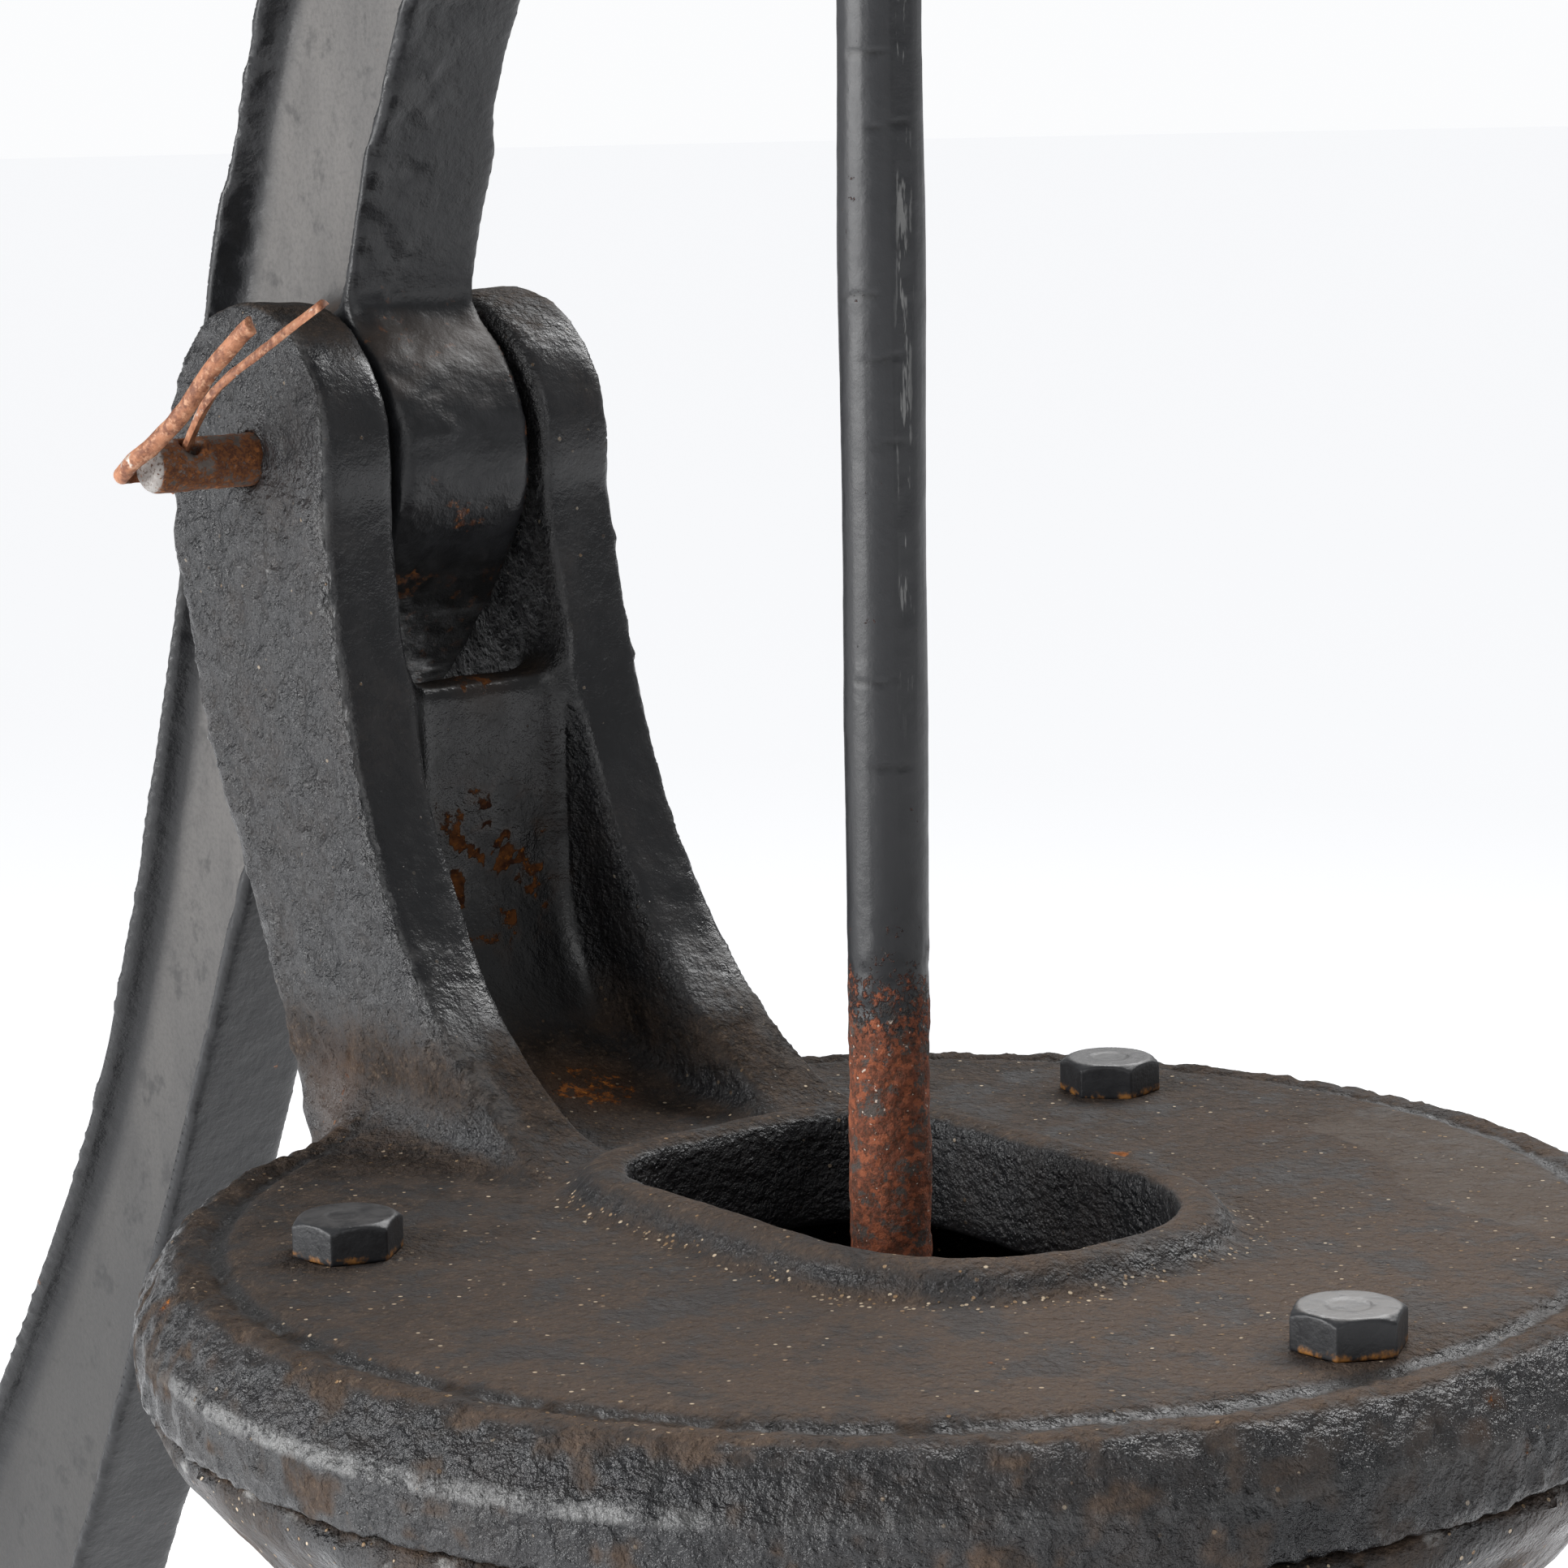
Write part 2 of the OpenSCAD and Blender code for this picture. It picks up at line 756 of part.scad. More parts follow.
base_foot();
valve_gasket();
flange_bolts();
flange_nuts();
pump_body();
cap_bearer();
cap_bolts();
fulcrum_pin();
fulcrum_cotter();
flap_leather();
flap_weight();
flap_bolt();
flap_nut();
handle_lever();
rod_pin();
rod_pin_cotter();
pump_rod();
rod_eye();
rod_locknut();
plunger_cage();
cup_leather();
plunger_follower();
plunger_pin();
plunger_rivets();
poppet_valve();
poppet_facing();
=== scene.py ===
"""Looks of the hand pitcher pump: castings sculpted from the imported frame, and procedural finishes."""
import itertools
import json
import math

import bpy
import numpy as np
import openvdb as vdb
from mathutils import Matrix, Vector

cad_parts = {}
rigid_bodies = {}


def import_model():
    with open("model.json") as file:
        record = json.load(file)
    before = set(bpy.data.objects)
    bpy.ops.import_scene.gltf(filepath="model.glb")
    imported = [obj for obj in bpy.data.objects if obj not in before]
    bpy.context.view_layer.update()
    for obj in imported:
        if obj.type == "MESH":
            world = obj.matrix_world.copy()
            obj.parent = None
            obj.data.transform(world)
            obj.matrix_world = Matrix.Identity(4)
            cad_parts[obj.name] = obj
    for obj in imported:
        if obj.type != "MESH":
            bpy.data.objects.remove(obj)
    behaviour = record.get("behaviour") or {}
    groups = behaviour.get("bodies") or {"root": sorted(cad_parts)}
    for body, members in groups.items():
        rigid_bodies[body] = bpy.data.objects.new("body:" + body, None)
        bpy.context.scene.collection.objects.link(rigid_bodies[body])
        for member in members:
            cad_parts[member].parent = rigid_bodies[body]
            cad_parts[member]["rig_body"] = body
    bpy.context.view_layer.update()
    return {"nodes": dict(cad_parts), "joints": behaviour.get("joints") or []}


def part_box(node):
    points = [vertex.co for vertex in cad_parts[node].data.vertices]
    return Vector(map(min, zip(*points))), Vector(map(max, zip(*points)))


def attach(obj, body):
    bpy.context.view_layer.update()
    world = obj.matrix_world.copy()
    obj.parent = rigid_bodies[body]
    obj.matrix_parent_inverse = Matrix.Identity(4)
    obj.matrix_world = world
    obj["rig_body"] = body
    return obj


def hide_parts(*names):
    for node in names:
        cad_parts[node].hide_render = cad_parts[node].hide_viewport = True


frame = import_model()

MM = 0.001
NODES = frame["nodes"]
BODY_OF = {node: obj["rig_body"] for node, obj in NODES.items()}
JOINTS = {joint["name"]: joint for joint in frame["joints"]}

# Landmarks of the frame, in metres
FULCRUM = np.array(JOINTS["handle_hinge"]["pos_m"], float)
HEAD_H = 4.7 * MM
CAP_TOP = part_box("cap_bolts")[1].z - HEAD_H
BOLT_CIRCLE = 76 * MM
BOLT_FRONT = 5 * MM
BOLT_FLATS = 12.7 * MM
BOLT_SHANK_R = 3.97 * MM
SLOT_FRONT = 38 * MM
SLOT_HALF_WIDTH = 25 * MM
DUST_BAND_R = 93.4 * MM
GROOVE_R = 90.3 * MM
RIM_CORNER_R = 101.2 * MM
RIM_CORNER_DROP = 8.3 * MM


# ---------- repeatable noise and soft steps on arrays ----------

def lattice(ix, iy, iz, seed):
    """A repeatable value from -1 to 1 for each whole-number lattice point."""
    h = (ix * 374761393 + iy * 668265263 + iz * 1440662683 + seed * 1274126177) & 0xFFFFFFFF
    h = ((h ^ (h >> 13)) * 1274126177) & 0xFFFFFFFF
    h = (h ^ (h >> 16)) & 0xFFFF
    return h / 32767.5 - 1


def noise(points, size, seed):
    """Smooth noise from -1 to 1 with features of about that size."""
    q = points / size + 512
    cell = np.floor(q).astype(np.int64)
    f = q - cell
    f = f * f * (3 - 2 * f)
    total = np.zeros(len(points))
    for dx, dy, dz in itertools.product((0, 1), repeat=3):
        weight = np.abs(1 - dx - f[:, 0]) * np.abs(1 - dy - f[:, 1]) * np.abs(1 - dz - f[:, 2])
        total += weight * lattice(cell[:, 0] + dx, cell[:, 1] + dy, cell[:, 2] + dz, seed)
    return total


def fractal(points, size, octaves, seed):
    """Noise summed over halving sizes, from about -1 to 1."""
    return sum(noise(points, size / 2**i, seed + i) * 0.6**i for i in range(octaves)) / 1.4


def step(value, low, high):
    """0 below low, 1 above high, and smooth between; low may be the larger."""
    t = np.clip((value - low) / (high - low), 0, 1)
    return t * t * (3 - 2 * t)


def near(points, centre_mm, radius_mm):
    """1 at a point given in mm from the cap's top centre, fading to 0 at the radius."""
    centre = np.array(centre_mm) * MM + [0, 0, CAP_TOP]
    return step(np.linalg.norm(points - centre, axis=1), radius_mm * MM, 0.25 * radius_mm * MM)


# ---------- sculpting with level sets ----------

def level_set(points, tris, quads, voxel, reach):
    return vdb.FloatGrid.createLevelSetFromPolygons(
        points, triangles=tris, quads=quads,
        transform=vdb.createLinearTransform(voxelSize=voxel), halfWidth=reach / voxel,
    )


class Clay:
    """A solid held as a level set, which can be swollen, shrunk, blended and meshed."""

    def __init__(self, grid, voxel, reach):
        self.grid, self.voxel, self.reach = grid, voxel, reach

    @classmethod
    def of_node(cls, node, voxel, reach):
        mesh = NODES[node].data
        mesh.calc_loop_triangles()
        points = np.empty(len(mesh.vertices) * 3, np.float32)
        mesh.vertices.foreach_get("co", points)
        tris = np.empty(len(mesh.loop_triangles) * 3, np.int32)
        mesh.loop_triangles.foreach_get("vertices", tris)
        tris = tris.reshape(-1, 3).astype(np.uint32)
        return cls(level_set(points.reshape(-1, 3), tris, None, voxel, reach), voxel, reach)

    @classmethod
    def of_formula(cls, formula, low, high, voxel):
        """The solid where formula(x, y, z) is negative, between two corners in metres."""
        start = np.floor(np.array(low) / voxel).astype(int) - 2
        count = np.ceil((np.array(high) - low) / voxel).astype(int) + 5
        x, y, z = (
            ((start[i] + np.arange(count[i])) * voxel).reshape([-1 if i == j else 1 for j in range(3)])
            for i in range(3)
        )
        reach = 4 * voxel
        values = np.clip(formula(x, y, z), -reach, reach).astype(np.float32)
        grid = vdb.FloatGrid(reach)
        grid.transform = vdb.createLinearTransform(voxelSize=voxel)
        grid.copyFromArray(np.ascontiguousarray(values), ijk=tuple(int(i) for i in start))
        return cls(grid, voxel, reach)

    def offset(self, by):
        points, tris, quads = self.grid.convertToPolygons(isovalue=by)
        return Clay(level_set(points, tris, quads, self.voxel, self.reach), self.voxel, self.reach)

    def filleted(self, radius):
        """Fills the inner corners with that radius."""
        return self.offset(radius).offset(-radius)

    def rounded(self, radius):
        """Rounds the outer edges with that radius."""
        return self.offset(-radius).offset(radius)

    def blended(self, other, share):
        """This solid where share(x, y, z) is 0 and the other one where it is 1."""
        low, high = self.grid.evalActiveVoxelBoundingBox()
        low = np.array(low) - 2
        count = np.array(high) - low + 3
        arrays = []
        for grid in (self.grid, other.grid):
            values = np.empty(tuple(count), np.float32)
            grid.copyToArray(values, ijk=tuple(int(i) for i in low))
            arrays.append(values)
        x, y, z = (
            ((low[i] + np.arange(count[i])) * self.voxel).reshape([-1 if i == j else 1 for j in range(3)])
            for i in range(3)
        )
        weight = share(x, y, z).astype(np.float32)
        values = arrays[0] * (1 - weight) + arrays[1] * weight
        grid = vdb.FloatGrid(self.reach)
        grid.transform = vdb.createLinearTransform(voxelSize=self.voxel)
        grid.copyFromArray(np.ascontiguousarray(values), ijk=tuple(int(i) for i in low))
        return Clay(grid, self.voxel, self.reach).offset(0)

    def mesh(self, name):
        points, quads = self.grid.convertToQuads(isovalue=0)
        quads = quads.astype(np.int64)
        a, b, c, d = (points[quads[:, i]].astype(float) for i in range(4))
        if (np.cross(c - a, d - b) * (a + b + c + d)).sum() < 0:
            quads = quads[:, ::-1]
        mesh = bpy.data.meshes.new(name)
        mesh.vertices.add(len(points))
        mesh.vertices.foreach_set("co", points.astype(np.float32).ravel())
        mesh.loops.add(quads.size)
        mesh.loops.foreach_set("vertex_index", quads.ravel().astype(np.int32))
        mesh.polygons.add(len(quads))
        mesh.polygons.foreach_set("loop_start", np.arange(0, quads.size, 4, dtype=np.int32))
        mesh.update(calc_edges=True)
        mesh.validate()
        return mesh


# ---------- meshes, attributes and pieces ----------

def positions(mesh):
    co = np.empty(len(mesh.vertices) * 3, np.float32)
    mesh.vertices.foreach_get("co", co)
    return co.reshape(-1, 3).astype(float)


def normals(mesh):
    n = np.empty(len(mesh.vertices) * 3, np.float32)
    mesh.vertex_normals.foreach_get("vector", n)
    return n.reshape(-1, 3).astype(float)


def move(mesh, points):
    mesh.vertices.foreach_set("co", points.astype(np.float32).ravel())
    mesh.update()


def averaged(mesh, values, times):
    """Values per vertex, averaged with their neighbours that many times."""
    edges = np.empty(len(mesh.edges) * 2, np.int32)
    mesh.edges.foreach_get("vertices", edges)
    a, b = edges.reshape(-1, 2).T
    n = len(mesh.vertices)
    degree = np.bincount(a, minlength=n) + np.bincount(b, minlength=n)
    values = values.reshape(n, -1)
    for _ in range(times):
        columns = [
            np.bincount(a, v[b], n) + np.bincount(b, v[a], n) for v in values.T
        ]
        values = 0.5 * values + 0.5 * np.stack(columns, 1) / np.maximum(degree, 1)[:, None]
    return values


def paint(mesh, name, values):
    layer = mesh.attributes.get(name) or mesh.attributes.new(name, "FLOAT", "POINT")
    layer.data.foreach_set("value", np.asarray(values, np.float32).ravel())


def paint_relief(mesh, spread=2):
    """Writes how far each vertex stands out as 'wear' and how far it is sunk as 'hollow', in mm."""
    co = positions(mesh)
    bulge = ((co - averaged(mesh, co, spread)) * normals(mesh)).sum(1) / MM
    bulge = averaged(mesh, bulge, 1)[:, 0]
    paint(mesh, "wear", np.maximum(bulge, 0))
    paint(mesh, "hollow", np.maximum(-bulge, 0))


def add_piece(name, mesh, body, material, replaces):
    """Puts a finished mesh in the scene in place of its CAD nodes."""
    mesh.polygons.foreach_set("use_smooth", np.ones(len(mesh.polygons), bool))
    mesh.materials.clear()
    mesh.materials.append(material)
    obj = bpy.data.objects.new(name, mesh)
    bpy.context.scene.collection.objects.link(obj)
    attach(obj, body)
    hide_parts(*replaces)
    return obj


# ---------- node materials ----------

class Finish:
    """A short way to write one node material. Sizes are in millimetres."""

    def __init__(self, name):
        self.material = bpy.data.materials.new(name)
        self.material.use_nodes = True
        self.tree = self.material.node_tree
        self.tree.nodes.clear()
        output = self.node("ShaderNodeOutputMaterial")
        self.shader = self.node("ShaderNodeBsdfPrincipled")
        self.tree.links.new(self.shader.outputs[0], output.inputs[0])
        self.coords = self.node("ShaderNodeTexCoord")
        self.place = self.coords.outputs["Object"]

    def node(self, kind, **settings):
        made = self.tree.nodes.new(kind)
        for key, value in settings.items():
            setattr(made, key, value)
        return made

    def put(self, socket, value):
        if isinstance(value, bpy.types.NodeSocket):
            self.tree.links.new(value, socket)
        else:
            socket.default_value = value

    def set(self, name, value):
        self.put(self.shader.inputs[name], value)

    def attribute(self, name):
        return self.node("ShaderNodeAttribute", attribute_name=name).outputs["Fac"]

    def noise(self, size, detail=3.0, roughness=0.55, seed=0.0, stretch=None, distortion=0.0):
        made = self.node("ShaderNodeTexNoise", noise_dimensions="4D")
        self.put(made.inputs["Vector"], self.stretched(stretch) if stretch else self.place)
        made.inputs["W"].default_value = seed
        made.inputs["Scale"].default_value = 1 / (size * MM)
        made.inputs["Detail"].default_value = detail
        made.inputs["Roughness"].default_value = roughness
        made.inputs["Distortion"].default_value = distortion
        return made.outputs["Fac"]

    def cells(self, size, seed=0.0, feature="F1"):
        made = self.node("ShaderNodeTexVoronoi", voronoi_dimensions="4D", feature=feature)
        self.put(made.inputs["Vector"], self.place)
        made.inputs["W"].default_value = seed
        made.inputs["Scale"].default_value = 1 / (size * MM)
        return made.outputs["Distance"], made.outputs["Color"]

    def stretched(self, factors):
        made = self.node("ShaderNodeVectorMath", operation="MULTIPLY")
        self.put(made.inputs[0], self.place)
        made.inputs[1].default_value = factors
        return made.outputs[0]

    def split(self, vector):
        made = self.node("ShaderNodeSeparateXYZ")
        self.put(made.inputs[0], vector)
        return made.outputs

    def math(self, operation, a, b=0.0, clamp=False):
        made = self.node("ShaderNodeMath", operation=operation, use_clamp=clamp)
        self.put(made.inputs[0], a)
        self.put(made.inputs[1], b)
        return made.outputs[0]

    def add(self, a, b, clamp=False):
        return self.math("ADD", a, b, clamp)

    def times(self, a, b, clamp=False):
        return self.math("MULTIPLY", a, b, clamp)

    def band(self, value, low, high, to_low=0.0, to_high=1.0):
        made = self.node("ShaderNodeMapRange", interpolation_type="SMOOTHSTEP")
        for i, v in enumerate((value, low, high, to_low, to_high)):
            self.put(made.inputs[i], v)
        return made.outputs[0]

    def blend(self, share, a, b):
        made = self.node("ShaderNodeMix", data_type="FLOAT")
        for i, v in zip((0, 2, 3), (share, a, b)):
            self.put(made.inputs[i], v)
        return made.outputs[0]

    def tint(self, share, a, b, mode="MIX"):
        made = self.node("ShaderNodeMix", data_type="RGBA", blend_type=mode)
        self.put(made.inputs[0], share)
        for i, v in zip((6, 7), (a, b)):
            self.put(made.inputs[i], v if isinstance(v, bpy.types.NodeSocket) else (*v, 1.0))
        return made.outputs[2]

    def bump(self, height, depth, under=None):
        """Raises the surface by depth millimetres where height goes from 0 to 1."""
        made = self.node("ShaderNodeBump")
        made.inputs["Distance"].default_value = depth * MM
        self.put(made.inputs["Height"], height)
        if under is not None:
            self.put(made.inputs["Normal"], under)
        return made.outputs[0]


PAINT = (0.0115, 0.012, 0.0135)
DUST = (0.054, 0.038, 0.0285)
PALE_DUST = (0.135, 0.128, 0.122)
RUST_DARK = (0.085, 0.028, 0.012)
RUST = (0.33, 0.115, 0.03)
RUST_BRIGHT = (0.62, 0.22, 0.035)
SAND = (0.62, 0.5, 0.36)
BARE = (0.42, 0.42, 0.41)
# Grey laid onto edges as a painted highlight, standing in for glints on lumpy edges
PAINTED_EDGE_HIGHLIGHT = (0.2, 0.2, 0.198)
BROWNED_STEEL = (0.2, 0.17, 0.15)
OILED_STEEL = (0.32, 0.28, 0.23)
OILED_IRON = (0.1, 0.085, 0.075)


def rust_colour(f, seed):
    fleck = f.noise(0.9, 4, 0.7, seed)
    patch = f.noise(3.5, 3, 0.6, seed + 3)
    dark = f.tint(f.band(patch, 0.4, 0.62), RUST_DARK, RUST)
    return f.tint(f.band(fleck, 0.52, 0.68), dark, RUST_BRIGHT)


def painted_iron(name, top_dust=0.9, side_dust=0.25, gloss=0.27, pebble=0.36, seed=0.0):
    """Black paint over cast iron, with settled dust, rust spots, grit and edges rubbed bright, plus painted
    highlights along some edges, painted shade in hollows and where the shade attribute is set, and dust
    lightened towards +x that is partly painted light.
    """
    f = Finish(name)
    wear, hollow = f.attribute("wear"), f.attribute("hollow")
    rust_map, dust_map, grit_map = f.attribute("rust"), f.attribute("dust"), f.attribute("grit")
    clean, edge, flaked = f.attribute("clean"), f.attribute("edge"), f.attribute("flaked")
    cloud = f.noise(26, 4, 0.6, seed)
    mottle = f.noise(4.5, 4, 0.62, seed + 1)
    grain = f.noise(0.8, 3, 0.6, seed + 2)
    fine = f.noise(0.28, 2, 0.5, seed + 3)
    patchy = f.noise(9, 5, 0.7, seed + 11)
    up = f.split(f.coords.outputs["Normal"])[2]
    x = f.split(f.place)[0]

    settled = f.band(f.add(up, f.times(f.add(mottle, -0.5), 0.5)), 0.45, 1.0, 0.0, top_dust)
    settled = f.times(settled, f.band(clean, 0.0, 1.0, 1.0, 0.25))
    film = f.times(f.band(f.add(cloud, f.times(hollow, 1.2)), 0.4, 0.75), side_dust)
    dust = f.add(f.math("MAXIMUM", settled, film), dust_map, True)
    dust = f.times(dust, f.band(grain, 0.25, 0.6, 0.72, 1.0))
    colour = f.tint(f.band(cloud, 0.35, 0.65), PAINT, tuple(c * 1.45 for c in PAINT))
    brown = f.tint(f.band(mottle, 0.38, 0.62), tuple(c * 0.5 for c in DUST), tuple(c * 1.15 for c in DUST))
    # Dust colour lightened towards +x: partly lighter dust, partly painted light for the cap's left side, which
    # the ears and lever shade.
    brown = f.tint(f.band(x, -60 * MM, 85 * MM), brown, tuple(c * 2.1 for c in DUST), "LIGHTEN")
    brown = f.tint(f.times(f.band(grain, 0.5, 0.7), 0.4), brown, (0.2, 0.15, 0.11))
    dust = f.times(dust, f.band(patchy, 0.38, 0.54, 0.74, 1.0))
    brown = f.tint(f.band(patchy, 0.52, 0.38, 0.0, 0.55), brown, tuple(c * 1.3 for c in PAINT))
    colour = f.tint(dust, colour, brown)

    colour = f.tint(f.times(flaked, f.band(mottle, 0.3, 0.7, 0.35, 0.75)), colour, (0.13, 0.108, 0.092))
    # Painted shade: sunk spots (the hollow attribute) are darkened to half the paint's colour.
    colour = f.tint(f.band(hollow, 0.12, 0.3, 0.0, 0.7), colour, tuple(c * 0.5 for c in PAINT))

    speck, speck_colour = f.cells(0.9, seed + 4)
    lone = f.band(f.split(speck_colour)[0], 0.86, 0.88)
    specks = f.times(f.band(speck, 0.17, 0.1), f.times(lone, f.band(up, 0.5, 0.9, 0.0, 1.0)))
    grit, grit_colour = f.cells(0.8, seed + 5)
    chosen = f.band(f.add(f.split(grit_colour)[1], grit_map), 0.98, 1.02)
    grains = f.times(f.band(grit, 0.44, 0.32), chosen)
    colour = f.tint(f.times(specks, 0.55), colour, (0.5, 0.47, 0.43))
    sand = f.tint(f.band(f.split(grit_colour)[2], 0.2, 0.8), SAND, (0.3, 0.19, 0.1))
    colour = f.tint(grains, colour, sand)

    eaten = f.add(f.noise(2.2, 4, 0.68, seed + 6), f.times(f.add(rust_map, -0.5), 0.6))
    rust = f.times(f.band(eaten, 0.52, 0.6), f.band(rust_map, 0.02, 0.12))
    spots = f.band(f.noise(6, 3, 0.7, seed + 7), 0.74, 0.78)
    rust = f.math("MAXIMUM", rust, f.times(spots, 0.7))
    stain = f.times(f.band(rust_map, 0.0, 0.7), 0.55)
    colour = f.tint(stain, colour, (0.09, 0.045, 0.022))
    colour = f.tint(rust, colour, rust_colour(f, seed + 8))

    rubbed = f.band(f.add(wear, f.times(f.add(grain, -0.5), 0.08)), 0.1, 0.17)
    rubbed = f.times(rubbed, f.band(mottle, 0.5, 0.6))
    colour = f.tint(f.times(rubbed, 0.6), colour, BARE)
    # Painted highlight: grey along the edge mask, broken up by noise, stands in for glints on the cap rim's
    # lower corner and the ears' front edges.
    painted_edge_glint = f.times(edge, f.band(f.add(mottle, f.times(grain, 0.5)), 0.62, 0.82, 0.05, 0.9))
    colour = f.tint(painted_edge_glint, colour, PAINTED_EDGE_HIGHLIGHT)

    # Painted shade: colour pulled towards near black where the shade attribute is set.
    colour = f.tint(f.times(f.attribute("shade"), 0.65), colour, (0.003, 0.003, 0.003))
    f.set("Base Color", colour)
    sheen = f.blend(f.band(mottle, 0.35, 0.65), gloss - 0.06, gloss + 0.1)
    sheen = f.add(sheen, f.times(clean, -0.08))
    rough = f.blend(dust, sheen, 0.92)
    f.set("Specular IOR Level", f.blend(f.math("MAXIMUM", dust, rust), 0.55, 0.14))
    f.set("Roughness", f.blend(rust, rough, 0.9))
    calm = f.band(f.attribute("smooth"), 0.0, 1.0, 1.0, 0.15)
    pits = f.band(f.noise(2.1, 4, 0.62, seed + 9), 0.3, 0.7)
    relief = f.bump(f.times(pits, calm), pebble)
    grains_high = f.times(f.band(f.noise(0.75, 3, 0.6, seed + 12), 0.3, 0.75), calm)
    relief = f.bump(grains_high, 0.2, relief)
    relief = f.bump(fine, 0.04, relief)
    relief = f.bump(f.add(grains, f.times(rust, grain)), 0.22, relief)
    f.set("Normal", relief)
    return f.material


def lever_iron():
    """Black paint under pale dust on the lever's sunk web, with darker rims."""
    f = Finish("lever_iron")
    seed = 40.0
    web, wear, rust_map = f.attribute("web"), f.attribute("wear"), f.attribute("rust")
    cloud = f.noise(14, 4, 0.62, seed, stretch=(1.0, 1.0, 0.35))
    mottle = f.noise(3.8, 4, 0.65, seed + 1)
    grain = f.noise(0.8, 3, 0.6, seed + 2)
    fine = f.noise(0.3, 2, 0.5, seed + 3)
    up = f.split(f.coords.outputs["Normal"])[2]
    z = f.split(f.place)[2]
    pale = f.times(web, f.band(cloud, 0.3, 0.7, 0.6, 0.95))
    # The web's pale colour grows darker towards the bottom.
    web_pale_by_height = f.tint(f.band(z, CAP_TOP - 70 * MM, CAP_TOP + 60 * MM), (0.06, 0.058, 0.056), PALE_DUST)
    dust = f.band(f.add(up, f.times(f.add(mottle, -0.5), 0.4)), 0.3, 1.0, 0.0, 0.8)
    colour = f.tint(f.band(mottle, 0.35, 0.65), PAINT, tuple(c * 1.5 for c in PAINT))
    colour = f.tint(dust, colour, DUST)
    colour = f.tint(f.times(pale, f.band(grain, 0.3, 0.6, 0.75, 1.0)), colour, web_pale_by_height)
    smudge = f.times(f.band(f.noise(7, 4, 0.7, seed + 4), 0.52, 0.66), f.times(web, 0.5))
    colour = f.tint(smudge, colour, PAINT)
    rust = f.times(f.band(f.add(f.noise(2.4, 4, 0.7, seed + 5), f.times(rust_map, 0.3)), 0.66, 0.72), rust_map)
    spots = f.times(f.band(f.noise(3.2, 3, 0.7, seed + 6), 0.71, 0.75), 0.6)
    colour = f.tint(f.math("MAXIMUM", rust, spots), colour, rust_colour(f, seed + 7))
    rubbed = f.times(f.band(f.add(wear, f.times(f.add(grain, -0.5), 0.08)), 0.11, 0.19),
                     f.band(mottle, 0.42, 0.55))
    colour = f.tint(f.times(rubbed, 0.7), colour, BARE)
    # Painted shade: colour pulled towards near black where the shade attribute is set, in the throat below the
    # hub.
    colour = f.tint(f.times(f.attribute("shade"), 0.6), colour, (0.004, 0.0038, 0.003))
    f.set("Base Color", colour)
    f.set("Roughness", f.blend(f.add(pale, dust, True), f.band(mottle, 0.3, 0.7, 0.3, 0.46), 0.7))
    relief = f.bump(f.noise(1.6, 3, 0.6, seed + 8), 0.2)
    f.set("Normal", f.bump(fine, 0.03, relief))
    return f.material


def rod_paint():
    """Satin black paint on drawn steel, scraped along one side, red rust at the foot."""
    f = Finish("rod_paint")
    seed = 60.0
    x, y, z = f.split(f.place)
    foot = f.band(z, CAP_TOP + 46 * MM, CAP_TOP + 2 * MM)
    grain = f.noise(0.75, 4, 0.7, seed)
    patch = f.noise(4, 4, 0.65, seed + 1)
    fine = f.noise(0.3, 2, 0.5, seed + 2)
    orange_peel = f.noise(1.1, 2, 0.5, seed + 3)
    colour = f.tint(patch, tuple(c * 1.2 for c in PAINT), tuple(c * 1.9 for c in PAINT))
    scraped = f.attribute("scraped")
    bare = f.times(scraped, f.band(f.noise(0.9, 3, 0.65, seed + 4, stretch=(1, 1, 0.12)), 0.55, 0.62))
    colour = f.tint(f.times(bare, 0.4), colour, BARE)
    eaten = f.band(f.add(f.add(f.times(grain, 0.5), f.times(patch, 0.5)), f.times(foot, 0.42)), 0.62, 0.7)
    granular = f.tint(f.band(grain, 0.42, 0.6), RUST_DARK, (0.2, 0.055, 0.024))
    granular = f.tint(f.band(f.noise(1.8, 3, 0.7, seed + 5), 0.5, 0.6), granular, (0.3, 0.085, 0.034))
    granular = f.tint(f.band(f.noise(2.6, 4, 0.75, seed + 6), 0.52, 0.6), granular, (0.075, 0.06, 0.052))
    colour = f.tint(eaten, colour, granular)
    glint = f.times(f.band(f.noise(0.7, 2, 0.5, seed + 7), 0.68, 0.72), eaten)
    colour = f.tint(glint, colour, (0.6, 0.5, 0.42))
    nick = f.times(f.attribute("nick"), f.band(grain, 0.35, 0.5))
    colour = f.tint(nick, colour, tuple(c * 0.4 for c in PAINT))
    f.set("Base Color", colour)
    f.set("Metallic", f.times(bare, 0.5))
    satin = f.band(patch, 0.3, 0.7, 0.34, 0.44)
    f.set("Roughness", f.blend(eaten, satin, 0.78))
    relief = f.bump(orange_peel, 0.05)
    relief = f.bump(f.times(eaten, grain), 0.5, relief)
    relief = f.bump(fine, 0.02, relief)
    f.set("Normal", relief)
    return f.material


